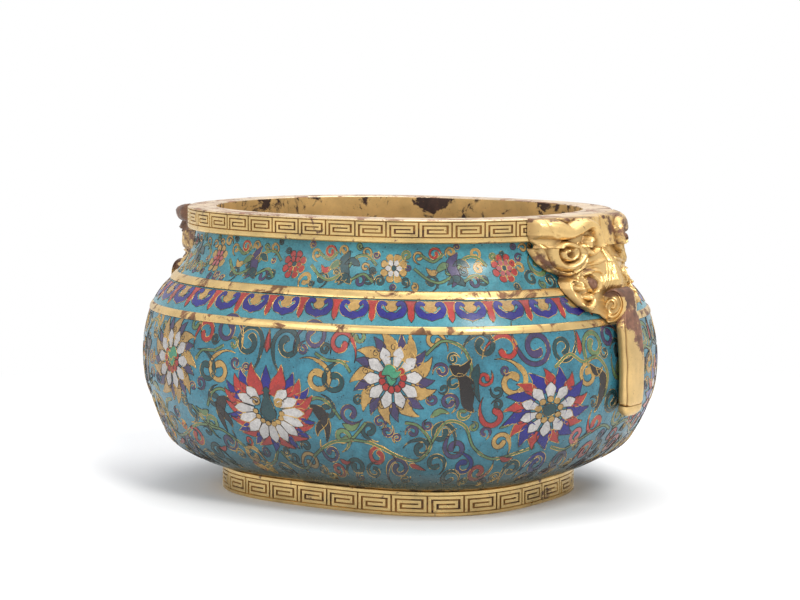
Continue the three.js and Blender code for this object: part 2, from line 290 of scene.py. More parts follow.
profile = [(0, BODY_BOTTOM), (FOOT - FOOT_WALL, BODY_BOTTOM), (FOOT, BODY_BOTTOM)]
profile += [(body_half_length(z) - COPPER_OUTSIDE, z)
            for z in np.linspace(OUTSIDE_FROM, BODY_TOP, WALL_ROWS)]
profile += [(body_half_length(z) - COPPER_INSIDE, z)
            for z in np.linspace(INSIDE_FROM, BODY_TOP, WALL_ROWS)[::-1]]
profile += [(FOOT, FLOOR_EDGE), (FOOT - FLOOR_ROUND, FLOOR), (30, FLOOR), (0, FLOOR)]
vessel = make_mesh("vessel_bowl", *sweep(profile, VESSEL_AROUND), [inside_gilding])
fitted(vessel, "copper_vessel")

# Base plate: a thin gilded copper disc let into the foot ring, which hides the vessel's
# underside. It is soldered round its edge.
PLATE, PLATE_UNDER, PLATE_OVER = 66.7, 7.5, 9
plate_gilding = gilding("gilding_base", (206, 168, 100), WORN, 0.55, 0.36)
profile = [(0, PLATE_UNDER), (20, PLATE_UNDER), (45, PLATE_UNDER), (66.0, 7.6), (PLATE, 8.0),
           (PLATE, PLATE_OVER), (0, PLATE_OVER)]
plate = make_mesh("base_disc", *sweep(profile, VESSEL_AROUND), [plate_gilding])
fitted(plate, "base_plate")

# Foot ring: cast and gilded, with a chased key fret between plain edges. The fret's gold
# lines stand up from a darkened ground. It is soldered under the vessel.
ring_gilding = gilding("gilding_rings", GOLD, WORN, 0.61, 0.32)
groove_brown = gilding("fret_ground", (150, 108, 64), (84, 56, 40), 0.5, 0.5)
RING, GROUND, LIP, SLEEVE = range(4)
FOOT_PROFILE = [(67.0, 0.4, RING), (67.3, 0.0, RING), (70.7, 0.0, RING), (71.15, 0.4, RING),
                (71.15, 1.35, RING), (70.7, 1.6, GROUND), (70.7, 8.3, RING), (71.15, 8.55, RING),
                (71.15, 9.7, RING), (70.9, 10.0, RING), (67.0, 10.0, RING)]
FRET = [(0, 0), (0, 3), (0.875, 3), (0.875, 0), (0.14, 0), (0.14, 2), (0.73, 2), (0.73, 1),
        (0.29, 1)]
FRET_ROWS, FRET_STEP, FRET_TAPER = 3, 1.6, 0.84
SKIN_STEPS = 2880


class Skin:
    """A surface round the oval, addressed by the run s round it and the height z."""

    def __init__(self, half_length, middle, sink=0.0):
        self.half_length = half_length
        self.sink = sink
        self.phi = np.linspace(0, 2 * np.pi, SKIN_STEPS + 1)
        p = oval(self.phi, half_length(middle), middle)
        self.run = np.concatenate([[0], np.cumsum(np.linalg.norm(np.diff(p, axis=0), axis=1))])
        self.girth = self.run[-1]

    def place(self, phi, z):
        return oval(phi, self.half_length(z) + 0 * phi, z)

    def at(self, points, lift):
        """Rows of (s, z) as points lifted off the surface."""
        s, z = np.asarray(points).T
        turn, rise = 0.002, 0.1
        phi = np.interp(s % self.girth, self.run, self.phi)
        along = self.place(phi + turn, z) - self.place(phi - turn, z)
        up = self.place(phi, z + rise) - self.place(phi, z - rise)
        normal = np.cross(along, up)
        normal /= np.linalg.norm(normal, axis=-1, keepdims=True)
        return self.place(phi, z) + normal * (np.asarray(lift) - self.sink)[..., None]


def resample(line, step):
    """The polyline with a point at least every step."""
    line = np.asarray(line, float)
    out = [line[:1]]
    for a, b in zip(line, line[1:]):
        count = max(1, int(math.ceil(np.linalg.norm(b - a) / step)))
        out.append(a + (b - a) * np.linspace(0, 1, count + 1)[1:, None])
    return np.vstack(out)


def tube_faces(rows, around):
    """Faces of rings of points, closed at both ends."""
    ends = [[i * around + j for j in range(around)] for i in (0, rows - 1)]
    return grid_faces(rows, around, wrap=True) + ends


def joined(parts):
    """Several lots of points and faces, or points and edges, as one."""
    points, faces = [], []
    start = 0
    for some_points, some_faces in parts:
        points.append(some_points)
        faces += [[start + i for i in face] for face in some_faces]
        start += len(some_points)
    return np.vstack(points), faces


def raised_line(skin, line, half, top, foot):
    """Points and faces of a flat-topped raised line of constant width along rows of (s, z)."""
    d = np.diff(line, axis=0)
    d /= np.linalg.norm(d, axis=1, keepdims=True)
    before = np.vstack([d[:1], d])
    mitre = before + np.vstack([d, d[-1:]])
    mitre /= np.linalg.norm(mitre, axis=1, keepdims=True)
    spread = half / np.clip((mitre * before).sum(1), 0.5, 1)
    side = np.stack([-mitre[:, 1], mitre[:, 0]], 1) * spread[:, None]
    ends = np.zeros_like(line)
    ends[0], ends[-1] = -d[0] * half, d[-1] * half
    corners = ((1, foot), (FRET_TAPER, top), (-FRET_TAPER, top), (-1, foot))
    points = np.stack([skin.at(line + side * share + ends, lift) for share, lift in corners], 1)
    return points.reshape(-1, 3), tube_faces(len(line), len(corners))


def key_fret(name, skin, low, high, units, half, top, foot):
    """A running key fret of squared spirals, raised from the ground of a ring."""
    unit = skin.girth / units
    row = (high - low) / FRET_ROWS
    lines = [[((k + x) * unit, low + r * row) for x, r in FRET] for k in range(units)]
    parts = [raised_line(skin, resample(line, FRET_STEP), half, top, foot) for line in lines]
    fret = make_mesh(name, *joined(parts), [ring_gilding], sharp=30)
    fitted(fret)


def ring(name, rows, materials, node):
    """A ring from its profile: rows of half length, height and the material that follows."""
    points, faces = sweep([row[:2] for row in rows + rows[:1]])
    slots = np.repeat([row[2] for row in rows], AROUND)
    fitted(make_mesh(name, points, faces, materials, slots), node)


ring("foot_band", FOOT_PROFILE, [ring_gilding, groove_brown], "foot_ring")
foot_face = Skin(lambda z: FOOT, 5.0)
key_fret("foot_fret", foot_face, low=2.35, high=7.55, units=30, half=0.66, top=-0.06, foot=-0.55)

# Belly enamel: turquoise glass fused onto the copper in cells of gilt wire, then ground
# flush and polished. Large lotus flowers stand among scrolling stems, curls and leaves.
# Small pits from the firing stay open in the glass.
SINK = 0.38
GLASS, TILE_DEPTH = 1.2, 0.3
TILE_TOP, WIRE_LIFT, LAYER = 0.05, 0.01, 0.03
HAIR, HAIRS = 0.0004, 16
BROAD_TILE = 1.6
SLACK, FINE_STEP, WIRE_STEP = 0.04, 0.25, 2.2
WIRE_RADIUS, WIRE_SIDES = 0.17, 4
FOOT_SHADE = (0.011, 0.036)


def enamel(name, rgb, dark, pits, foot_shade=None):
    """Glass enamel: mottled colour, dark firing pits and a polished, faintly uneven face."""
    n = Finish(name)
    colour = n.ramp(n.noise(160, 8, 0.66, 0.8), [(0.34, linear(dark)), (0.62, linear(rgb))])
    cloud = n.ramp(n.noise(42, 6, 0.66, 0.6), [(0.4, 0.0), (0.66, 0.68)])
    colour = n.mix(cloud, colour, shade(dark, 0.66))
    grain = n.ramp(n.noise(1500, 3, 0.6), [(0.35, shade(rgb, 0.8)), (0.65, shade(rgb, 1.1))])
    colour = n.mix(0.35, colour, grain)
    if foot_shade:
        share = n.ramp(n.height(*foot_shade), [(0.0, 0.92), (0.5, 0.48), (1.0, 0.0)])
        colour = n.mix(share, colour, linear((38, 54, 50)))
    cells = n.add("TexVoronoi", Vector=n.coords, Scale=520)
    hole = n.ramp(cells.outputs["Distance"], [(0.1, 1.0), (0.17, 0.0)])
    rare = n.ramp(n.noise(310, 2), [(pits - 0.12, 0.0), (pits - 0.08, 1.0)])
    pit = n.mix(1.0, hole, rare, "MULTIPLY")
    colour = n.mix(pit, colour, linear((24, 30, 34)))
    n.feed(n.shader, Base_Color=colour, Specular_IOR_Level=0.4, Coat_Weight=0.12,
           Coat_Roughness=0.12, Roughness=n.ramp(n.noise(420, 5), [(0.35, 0.24), (0.7, 0.4)]))
    n.bump(n.mix(0.75, n.noise(520, 4), n.mix(1.0, (1, 1, 1, 1), pit, "DIFFERENCE")), 0.18)
    return n.material


turquoise = enamel("turquoise_enamel", (60, 128, 146), (36, 86, 102), 0.57, FOOT_SHADE)
PALETTE = {
    name: enamel(f"{name}_enamel", rgb, dark, pits, FOOT_SHADE)
    for name, rgb, dark, pits in (
        ("red", (172, 54, 46), (126, 44, 44), 0.72),
        ("white", (196, 192, 188), (150, 146, 146), 0.68),
        ("yellow", (182, 146, 84), (134, 104, 60), 0.68),
        ("cobalt", (38, 36, 126), (32, 30, 88), 0.76),
        ("purple", (70, 58, 96), (46, 46, 70), 0.74),
        ("teal", (34, 70, 72), (26, 48, 54), 0.74),
        ("green", (78, 156, 118), (46, 106, 84), 0.74),
        ("stem", (102, 126, 80), (66, 92, 66), 0.72),
        ("brown", (42, 36, 34), (26, 25, 25), 0.8),
        ("pink", (180, 96, 98), (132, 66, 76), 0.74),
    )
}
COLOURS = list(PALETTE)


def needed(lines, slack):
    """Which points a few parallel lines need, so that each bows off its shape by under slack."""
    steps = np.diff(lines, axis=1)
    lengths = np.linalg.norm(steps, axis=2)
    turns = np.abs(np.diff(np.unwrap(np.arctan2(steps[..., 1], steps[..., 0]), axis=1), axis=1))
    kept = [0]
    run, bend = lengths[:, 0], 0
    for i in range(1, lines.shape[1] - 1):
        bend = bend + turns[:, i - 1]
        run = run + lengths[:, i]
        if (run * bend / 8 > slack).any():
            kept.append(i)
            run, bend = lengths[:, i], 0
    return kept + [lines.shape[1] - 1]


def inside(points, outline):
    """Which points lie inside a closed outline."""
    x, z = points[:, :1], points[:, 1:]
    (x0, z0), (x1, z1) = outline[:-1].T, outline[1:].T
    rise = np.where(z1 == z0, 1, z1 - z0)
    crossed = ((z0 > z) != (z1 > z)) & (x < x0 + (x1 - x0) * (z - z0) / rise)
    return crossed.sum(1) % 2 == 1


def is_closed(line):
    return np.allclose(line[0], line[-1])


def uncovered(line, covers):
    """The stretches of a line that lie under none of the outlines."""
    fine = resample(line, FINE_STEP)
    hidden = np.zeros(len(fine), bool)
    for outline in covers:
        if (outline.max(0) > fine.min(0)).all() and (outline.min(0) < fine.max(0)).all():
            hidden |= inside(fine, outline)
    if not hidden.any():
        return [line]
    if is_closed(line):
        first = np.flatnonzero(hidden)[0]
        fine, hidden = np.roll(fine[:-1], -first, axis=0), np.roll(hidden[:-1], -first)
    cuts = np.flatnonzero(np.diff(hidden)) + 1
    stretches = zip(np.split(fine, cuts), np.split(hidden, cuts))
    runs = [run for run, under in stretches if not under[0] and len(run) > 2]
    return [run[needed(run[None], SLACK)] for run in runs]


def table(rows, at):
    """A value read off rows of (place, value)."""
    return np.interp(at, *zip(*rows))


def spiral(x, z, radius, angle):
    """Points round (x, z) at the radii and angles given."""
    return np.stack([x + radius * np.cos(angle), z + radius * np.sin(angle)], 1)


class Inlay:
    """Coloured cells and the wires round them, drawn flat in (s, z) and laid on a skin."""

    def __init__(self, skin):
        self.skin = skin
        self.tiles, self.colours, self.lines, self.taken = [], [], [], []
        self.frame(0, 0)

    def frame(self, s, z, mirror=1, scale=1.0, widen=1.0, layer=0):
        """Later cells are drawn about (s, z), mirrored, scaled and widened, from a layer up."""
        self.origin = np.array([s, z], float)
        self.stretch = scale * np.array([mirror * widen, 1.0])
        self.layer = layer

    def move(self, p):
        return np.asarray(p, float) * self.stretch + self.origin

    def cell(self, spine, half, colour, over=0.0):
        """A tile of glass of the given half widths along a spine, sunk in the ground.

        It lies some layers over the others of its frame, and a hair apart from its neighbours,
        so that no two share a plane.
        """
        spine = np.asarray(spine, float)
        half = np.broadcast_to(half, (len(spine),)).astype(float)
        tangent = np.gradient(spine, axis=0)
        tangent /= np.linalg.norm(tangent, axis=1, keepdims=True) + SPECK
        side = np.stack([-tangent[:, 1], tangent[:, 0]], 1) * half[:, None]
        across = 5 if half.max() > BROAD_TILE else 3
        rows = np.stack([self.move(spine + side * k) for k in np.linspace(-1, 1, across)])
        rows = rows[:, needed(rows[[0, -1]], SLACK)]
        layer = self.layer + over
        top = TILE_TOP + LAYER * layer + HAIR * (len(self.taken) % HAIRS)
        flat = np.concatenate([rows, rows[[-1, 0]]])
        around, count = flat.shape[:2]
        lifts = np.array([top] * across + [-TILE_DEPTH] * 2)[:, None, None] + np.zeros((count, 1))
        points = np.concatenate([flat, lifts], 2).transpose(1, 0, 2).reshape(-1, 3)
        faces = tube_faces(count, around)
        self.tiles.append((points, faces))
        self.colours += [COLOURS.index(colour)] * len(faces)
        self.lines.append((layer, np.vstack([rows[0], rows[-1][::-1], rows[0][:1]])))
        self.taken.append(self.move(spine))

    def bead(self, x, z, r, colour):
        t = np.linspace(-1, 1, 7)
        spine = np.stack([x + r * np.sin(t * math.pi / 2), np.full(7, float(z))], 1)
        self.cell(spine, r * np.cos(t * math.pi / 2) + 0.02, colour)

    def petal(self, angle, r0, r1, width, colour, bend, shape):
        """A petal from radius r0 to r1 at an angle in degrees, its half width by its shape."""
        t = np.linspace(0, 1, 11)
        spine = spiral(0, 0, r0 + (r1 - r0) * t, np.radians(angle + bend * t * t))
        self.cell(spine, width * table(shape, t), colour)

    def whorl(self, count, first, *petal):
        """A full ring of like petals from a first angle on."""
        for k in range(count):
            self.petal(first + k * 360 / count, *petal)

    def bead_ring(self, places, radius, rise, r, colour):
        """Beads at angles in degrees on a ring of the given half width and half height."""
        for a in np.radians(places):
            self.bead(radius * math.cos(a), rise * math.sin(a), r, colour)

    def curl(self, x, z, r, start, turns, width, colour, tail=0.35):
        """A tendril whose tail comes in and winds up; turns below 0 wind clockwise."""
        t = np.linspace(0, 1, max(12, int(abs(turns) * 26)))
        back = np.linspace(1, 0, 7)[:-1]
        a = np.radians(start) + turns * 2 * math.pi * t
        a = np.concatenate([a[0] - math.copysign(1.2, turns) * back, a])
        radius = np.concatenate([r * (1 + tail * back**1.5), r * (1 - 0.74 * t**0.9)])
        half = width * np.interp(t, [0, 0.7, 0.9, 1], [0.8, 1, 1.5, 0.3])
        half = np.concatenate([width * (0.05 + 0.75 * (1 - back)), half])
        self.cell(spiral(x, z, radius, a), half, colour)

    def scribe(self, x, z, r, start, turns):
        """A curl of bare wire inside a cell."""
        t = np.linspace(0, 1, 14)
        a = np.radians(start) + turns * 2 * math.pi * t
        line = self.move(spiral(x, z, r * (1 - 0.75 * t), a))
        self.lines.append((self.layer, line[needed(line[None], SLACK)]))

    def stem(self, points, width=0.55):
        self.cell(smooth_line(points, 9), width, "stem", over=0.5)

    def leaf(self, points, width, colour):
        line = smooth_line(points, 8)
        t = np.linspace(0, 1, len(line))
        half = width * np.interp(t, [0, 0.3, 0.6, 1], [0.1, 1, 0.8, 0.03])
        self.cell(line, half, colour, over=1.0)

    def outlines(self, above=-1.0):
        """The outlines of the cells that lie over a layer."""
        return [line for layer, line in self.lines if layer > above and is_closed(line)]

    def wires(self, name, covers):
        """The cells' outlines as a mesh of edges, cut where other cells lie over them."""
        above = {layer: self.outlines(layer) + covers for layer, _ in self.lines}
        parts = []
        for layer, line in self.lines:
            for run in uncovered(line, above[layer]):
                fine = resample(run, WIRE_STEP)
                edges = len(fine) - 1
                if is_closed(fine):
                    fine = fine[:-1]
                parts.append((self.skin.at(fine, WIRE_LIFT + LAYER * layer),
                              [(i, (i + 1) % len(fine)) for i in range(edges)]))
        points, edges = joined(parts)
        mesh = bpy.data.meshes.new(name)
        mesh.from_pydata((points * MM).tolist(), edges, [])
        piece = bpy.data.objects.new(name, mesh)
        bpy.context.scene.collection.objects.link(piece)
        return piece

    def finish(self, name, wire_radius=WIRE_RADIUS, covers=()):
        """Lays the cells and draws their wires, as two pieces."""
        flat, faces = joined(self.tiles)
        points = self.skin.at(flat[:, :2], flat[:, 2])
        glass = list(PALETTE.values())
        cells = make_mesh(name + "_cells", points, faces, glass, self.colours, sharp=60)
        fitted(cells)
        fitted(draw_wire(self.wires(name + "_wires", list(covers)), wire_radius))


def wire_nodes():
    """Turns edges into round wire of a given radius."""
    tree = bpy.data.node_groups.new("cell_wire", "GeometryNodeTree")
    for name, kind in (("Geometry", "Geometry"), ("Wire Radius", "Float"), ("Sides", "Int"),
                       ("Metal", "Material")):
        tree.interface.new_socket(name, in_out="INPUT", socket_type="NodeSocket" + kind)
    tree.interface.new_socket("Geometry", in_out="OUTPUT", socket_type="NodeSocketGeometry")
    add = tree.nodes.new
    enter, leave = add("NodeGroupInput"), add("NodeGroupOutput")
    curve, circle = add("GeometryNodeMeshToCurve"), add("GeometryNodeCurvePrimitiveCircle")
    tube, solid = add("GeometryNodeCurveToMesh"), add("GeometryNodeRealizeInstances")
    smooth, paint = add("GeometryNodeSetShadeSmooth"), add("GeometryNodeSetMaterial")
    tube.inputs["Fill Caps"].default_value = True
    for source, output, target, socket in (
        (enter, "Geometry", curve, "Mesh"),
        (enter, "Wire Radius", circle, "Radius"),
        (enter, "Sides", circle, "Resolution"),
        (curve, "Curve", tube, "Curve"),
        (circle, "Curve", tube, "Profile Curve"),
        (tube, "Mesh", smooth, "Geometry"),
        (smooth, "Geometry", solid, "Geometry"),
        (solid, "Geometry", paint, "Geometry"),
        (enter, "Metal", paint, "Material"),
        (paint, "Geometry", leave, "Geometry"),
    ):
        tree.links.new(source.outputs[output], target.inputs[socket])
    return tree


WIRE = wire_nodes()
wire_gold = gilding("wire_gilding", (208, 170, 102), (60, 52, 46), 0.45, 0.36, 0.85, 90)


def draw_wire(piece, radius):
    """Runs the wire nodes on an object of edges and keeps only their result."""
    modifier = piece.modifiers.new("wire", "NODES")
    modifier.node_group = WIRE
    inputs = {"Wire Radius": radius * MM, "Sides": WIRE_SIDES, "Metal": wire_gold}
    for item in WIRE.interface.items_tree:
        if item.name in inputs:
            modifier[item.identifier] = inputs[item.name]
    bpy.context.view_layer.update()
    graph = bpy.context.evaluated_depsgraph_get()
    mesh = bpy.data.meshes.new_from_object(piece.evaluated_get(graph), depsgraph=graph)
    mesh.transform(piece.matrix_world)
    piece.modifiers.clear()
    edges = piece.data
    piece.data = mesh
    bpy.data.meshes.remove(edges)
    return piece


def enamel_ground(name, skin, low, high, material, rows, node):
    """One enamel field's ground: a shell of glass with its back against the copper."""
    layers = [(h, 0.0) for h in np.linspace(low, high, rows)]
    layers += [(h, -GLASS) for h in np.linspace(high, low, rows // 2)]
    s = np.linspace(0, skin.girth, AROUND, endpoint=False)
    points = [skin.at(np.stack([s, np.full_like(s, h)], 1), lift) for h, lift in layers + layers[:1]]
    faces = grid_faces(len(points), AROUND, wrap=True)
    fitted(make_mesh(name, np.vstack(points), faces, [material]), node)


FLAME = [(0, 0.7), (0.3, 1), (0.5, 0.92), (0.7, 0.5), (0.86, 0.26), (1, 0.03)]
SPEAR = [(0, 0.6), (0.35, 1), (0.6, 0.72), (0.82, 0.34), (1, 0.03)]
BROAD = [(0, 0.42), (0.3, 0.72), (0.6, 1), (0.82, 0.64), (0.94, 0.26), (1, 0.03)]


def great_lotus(f):
    """The large red and white lotus seen from the front, about 46 mm across."""
    for a in (196, 219, 244, 270, 296, 321, 344):
        f.petal(a, 10, 17.6, 1.9, "cobalt", 5 if a > 270 else -5, SPEAR)
    for a, bend in ((24, 10), (50, 8), (130, -8), (156, -10)):
        f.petal(a, 9, 19, 2.2, "cobalt", bend, SPEAR)
    for a in (184, 208, 231, 257, 283, 309, 332, 356):
        f.petal(a, 9.5, 17, 2.7, "red", 13 if a > 270 else -13, FLAME)
    for a, bend in ((12, 12), (36, 12), (144, -12), (168, -12)):
        f.petal(a, 8.5, 18.4, 2.8, "red", bend, FLAME)
    f.petal(90, 6, 18, 2.3, "cobalt", 0, SPEAR)
    f.layer += 0.5
    for side in (1, -1):
        f.petal(90 - side * 24, 6.5, 19.5, 2.9, "red", side * 7, FLAME)
    f.layer += 1
    for a in (180, 202, 225, 248, 270, 292, 315, 338, 0):
        f.petal(a, 5.4, 13.6, 2.15, "white", 0, BROAD)
    for side in (1, -1):
        for a, r in ((26, 11.6), (50, 10.8)):
            f.petal(90 - side * (90 - a), 5, r + 1, 2.15, "white", 0, BROAD)
    f.layer += 1
    f.bead_ring((188, 211, 234, 257, 283, 306, 329, 352), 5.1, 5.6, 1.05, "yellow")
    for side in (-1, 1):
        f.curl(side * 4.4, 3.2, 1.7, 90, side * 0.9, 0.5, "yellow")
    f.layer += 0.5
    f.cell([(0, -4.4), (0, -3.2), (0, -1), (0, 2), (0, 5), (0, 7.4), (0, 8), (0, 9.4)],
           [0.4, 2.2, 3.0, 2.3, 1.2, 0.9, 1.5, 0.3], "teal")


def yellow_lotus(f):
    """The lotus with yellow outer petals, red beads and a green heart."""
    f.whorl(9, 112, 9.5, 17.4, 2.1, "purple", 6, SPEAR)
    f.whorl(9, 92, 8, 18.4, 3.1, "yellow", 15, FLAME)
    for k in range(9):
        a = math.radians(88 + k * 40)
        f.scribe(11.6 * math.cos(a), 11.6 * math.sin(a), 1.5, k * 40, 1.2)
    f.layer += 1
    f.whorl(10, 74, 4.6, 12.4, 2.45, "white", 0, BROAD)
    f.layer += 1
    f.bead_ring(range(165, 429, 33), 4.5, 4.5, 1.45, "red")
    f.layer += 1
    f.leaf([(-4.4, 1.2), (-1.4, 3.0), (1.2, 1.4), (3.6, 2.8)], 2.3, "green")
    f.cell([(-0.4, -3), (-0.4, -1.6), (-0.4, 0.4), (-0.4, 2.4), (-0.4, 3.6)],
           [0.3, 1.7, 2.2, 1.6, 0.3], "green")
    f.scribe(0.6, 0.4, 1.4, 200, 1.1)


def small_lotus(f):
    """The lotus with alternate red and cobalt petals round a white and yellow heart."""
    f.whorl(9, 90, 9, 16.6, 2.1, "red", 9, FLAME)
    f.whorl(9, 70, 7, 17.0, 3.0, "cobalt", 9, FLAME)
    f.layer += 1
    f.whorl(10, 90, 4.4, 11.0, 2.15, "white", 0, BROAD)
    f.layer += 1
    f.bead_ring(range(90, 450, 40), 4.3, 4.3, 1.2, "yellow")
    f.layer += 1
    f.bead(0, 0, 2.7, "teal")


# Each curl has its centre, radius, start in degrees, turns, width and colour. They are drawn
# a little fuller than in this list, by these shares, with a long tail.
CURL_RADIUS, CURL_TURNS, CURL_WIDTH, CURL_TAIL = 1.12, 1.05, 1.3, 0.8
CURLS = (
    (9.5, 69.5, 6.4, 200, -1.3, 0.8, "teal"), (21.5, 73.5, 5.6, 150, -1.15, 0.75, "purple"),
    (24, 57.5, 5.4, 70, -1.1, 0.85, "yellow"), (33.5, 71.2, 4.6, 20, 1.0, 0.8, "red"),
    (31.5, 57, 4.8, 120, 1.05, 0.8, "teal"), (27.5, 45.2, 3.2, 40, -1.0, 0.75, "teal"),
    (16, 22.6, 3.9, 160, -1.0, 0.7, "yellow"), (27.5, 27.4, 3.4, 200, 1.0, 0.7, "purple"),
    (33.4, 34.5, 3.2, 330, 1.1, 0.8, "stem"), (38.5, 22, 3.4, 150, -1.1, 0.7, "teal"),
    (48.5, 27.2, 3.8, 60, 1.1, 0.75, "red"), (57.5, 22.5, 4.2, 180, -1.2, 0.75, "purple"),
    (66.5, 31, 3.6, 110, -1.1, 0.75, "teal"), (74.5, 37.6, 4.0, 20, 1.1, 0.8, "teal"),
    (80.5, 31.4, 4.0, 160, 1.15, 0.8, "purple"), (84.5, 24, 3.6, 60, -1.05, 0.75, "cobalt"),
    (91.5, 21, 3.8, 330, -1.1, 0.75, "red"), (90.5, 71.5, 4.6, 130, -1.1, 0.85, "teal"),
    (99.5, 69.8, 5.2, 130, -0.85, 0.8, "red"), (101.5, 57.4, 5.6, 60, -1.1, 0.85, "yellow"),
    (94.5, 44.2, 4.4, 190, 0.75, 0.95, "red"), (98.6, 33.4, 3.4, 20, 1.0, 0.8, "yellow"),
    (112.2, 70.2, 6.6, 200, 1.35, 0.85, "purple"), (124.6, 69.2, 5.2, 340, -1.2, 0.7, "teal"),
    (107.5, 21.6, 3.6, 200, -1.0, 0.75, "teal"), (119.5, 22.6, 4.6, 150, -1.2, 0.8, "cobalt"),
    (132.5, 22.8, 3.6, 40, 1.1, 0.75, "purple"), (141.5, 68.8, 5.6, 200, -1.25, 0.8, "stem"),
    (137.4, 57.5, 4.4, 110, 1.1, 0.75, "yellow"), (146.2, 37.4, 3.9, 200, 1.1, 0.8, "red"),
    (151.8, 71.6, 4.2, 60, 1.15, 0.75, "purple"), (153.6, 46.4, 4.8, 340, -1.2, 0.8, "teal"),
    (150.5, 24.8, 4.0, 180, -1.1, 0.8, "red"), (158, 58.4, 4.0, 200, 1.1, 0.8, "stem"),
    (136.5, 33.6, 3.3, 300, -1.1, 0.75, "pink"), (45.4, 38.2, 3.0, 240, -1.0, 0.75, "teal"),
    (71.5, 73.4, 3.2, 30, 1.0, 0.7, "yellow"), (41.2, 74, 2.6, 150, -1.0, 0.6, "stem"),
)
LEAVES = (
    ([(0, 66), (0.3, 70), (0, 75)], 1.3, "red"), ([(133, 66), (133.4, 70), (133, 75)], 1.3, "red"),
    ([(20, 46.5), (24.5, 44), (27, 38), (26, 32)], 2.5, "brown"),
    ([(28, 44), (25.8, 40.5), (22.6, 37), (22, 34)], 1.8, "brown"),
    ([(77, 64), (81.4, 62), (85.6, 66.5)], 2.3, "brown"),
    ([(80, 61), (83.4, 56.5), (84, 49), (86.5, 46)], 3.0, "brown"),
    ([(88, 64.5), (86.4, 57.5), (88.5, 50)], 1.8, "teal"),
    ([(142, 60), (146.5, 55), (145, 47), (143, 42)], 2.3, "brown"),
    ([(138, 62), (142.2, 58), (146, 60)], 1.5, "brown"),
    ([(31, 25), (33.5, 23.6), (36, 24.4)], 1.0, "red"),
    ([(62, 24.6), (65, 23.4), (69, 22)], 1.1, "red"),
    ([(100, 27), (103, 25.8), (106, 26.6)], 1.1, "red"),
    ([(34, 40), (38, 38.4), (41.5, 41)], 1.4, "stem"),
    ([(70, 44), (73.5, 46.5), (77, 45.5)], 1.3, "stem"),
    ([(104, 43.5), (100.6, 41), (97.5, 39)], 1.4, "stem"),
)
STEMS = (
    [(0.8, 26), (5, 21), (12, 19.4), (20, 26.8), (28.6, 32), (37, 33.6), (44, 41)],
    [(18, 47.4), (23.4, 49.8), (28.6, 48), (33.4, 41.8)],
    [(60, 41.6), (65.4, 40.2), (70.5, 33), (66, 26.4), (58, 27.4), (46, 32.6), (37, 33.6)],
    [(68, 68), (74.5, 73.2), (82, 71), (85.4, 64), (84.6, 58)],
    [(70.5, 33), (76, 42), (83.5, 40.4), (88, 31.6), (96.5, 26.6), (108, 28.6), (115, 30.5)],
    [(120, 62), (127.5, 66.6), (134.6, 63), (142.6, 64.4), (149, 57.6), (148, 48)],
    [(124, 29.6), (133, 27.6), (141.6, 31.6), (152.6, 35.6), (160.9, 33)],
    [(38, 60.6), (34.4, 64.4), (27.6, 64.8), (22.6, 67.2)],
)


def scroll_rows(f):
    """Stems, curls and leaves from a side's middle to its end, from (0, 0) at its foot."""
    for x, z, r, start, turns, width, colour in CURLS:
        f.curl(x, z, CURL_RADIUS * r, start, CURL_TURNS * turns, CURL_WIDTH * width, colour,
               CURL_TAIL)
    for points, width, colour in LEAVES:
        f.leaf(points, width, colour)
    for points in STEMS:
        f.stem(points)


def fill_with_curls(f, taken, seed, low, high, colours, clearance, count):
    """Small tendrils in the ground that the larger cells leave free."""
    gap, largest, past_edge = 0.8, 4.2, 1.6
    rng = np.random.default_rng(seed)
    taken = np.vstack(taken)
    girth = f.skin.girth
    f.frame(0, 0)
    for _ in range(count):
        s, z = rng.uniform(0, girth), rng.uniform(low, high)
        apart = np.abs(taken[:, 0] % girth - s)
        apart = np.minimum(apart, girth - apart)
        room = np.hypot(apart, taken[:, 1] - z).min()
        room = min(room, z - low + past_edge, high - z + past_edge)
        if room < clearance:
            continue
        r = min(room - gap, largest)
        start = rng.uniform(0, 360)
        turns = rng.choice([-1, 1]) * rng.uniform(0.8, 1.15)
        colour = colours[rng.integers(len(colours))]
        f.curl(s, z, r, start, turns, 0.36 + 0.13 * r, colour)
        taken = np.vstack([taken, f.taken[-1]])


belly_skin = Skin(body_half_length, 56.0, SINK)
enamel_ground("belly_ground", belly_skin, 11.2, 75.45, turquoise, 64, "belly_enamel")
scrolls, lotuses = Inlay(belly_skin), Inlay(belly_skin)
QUARTER = belly_skin.girth / 4
FLOWERS_LAYER = 1.5
for middle in (QUARTER, 3 * QUARTER):
    for mirror in (-1, 1):
        scrolls.frame(middle, 0, mirror)
        scroll_rows(scrolls)
    lotuses.frame(middle, 43, widen=1.28, layer=FLOWERS_LAYER)
    great_lotus(lotuses)
    for mirror in (-1, 1):
        lotuses.frame(middle + mirror * 55, 59, mirror, widen=0.94, layer=FLOWERS_LAYER)
        yellow_lotus(lotuses)
        lotuses.frame(middle + mirror * 118, 45.5, mirror, widen=1.2, layer=FLOWERS_LAYER)
        small_lotus(lotuses)
FILL = ["teal", "purple", "teal", "teal", "purple", "stem", "teal", "red", "purple"]
fill_with_curls(scrolls, scrolls.taken + lotuses.taken, 11, 15, 74, FILL, 2.5, 3600)
scrolls.finish("scroll", covers=lotuses.outlines())
lotuses.finish("lotus")

# Lower fillet: a gilded bronze band soldered round the vessel's shoulder, which parts the
# belly from the lappet border. Its face is rounded.
FILLET_HALF, FILLET_DEPTH, FILLET_INSET, FILLET_RISE = 1.5, 1.2, 0.3, 0.6
LOWER_FILLET, UPPER_FILLET = 76.9, 89.4
fillet_gilding = gilding("gilding_fillets", (232, 198, 134), (112, 76, 48), 0.54, 0.32, 0.9, 80)


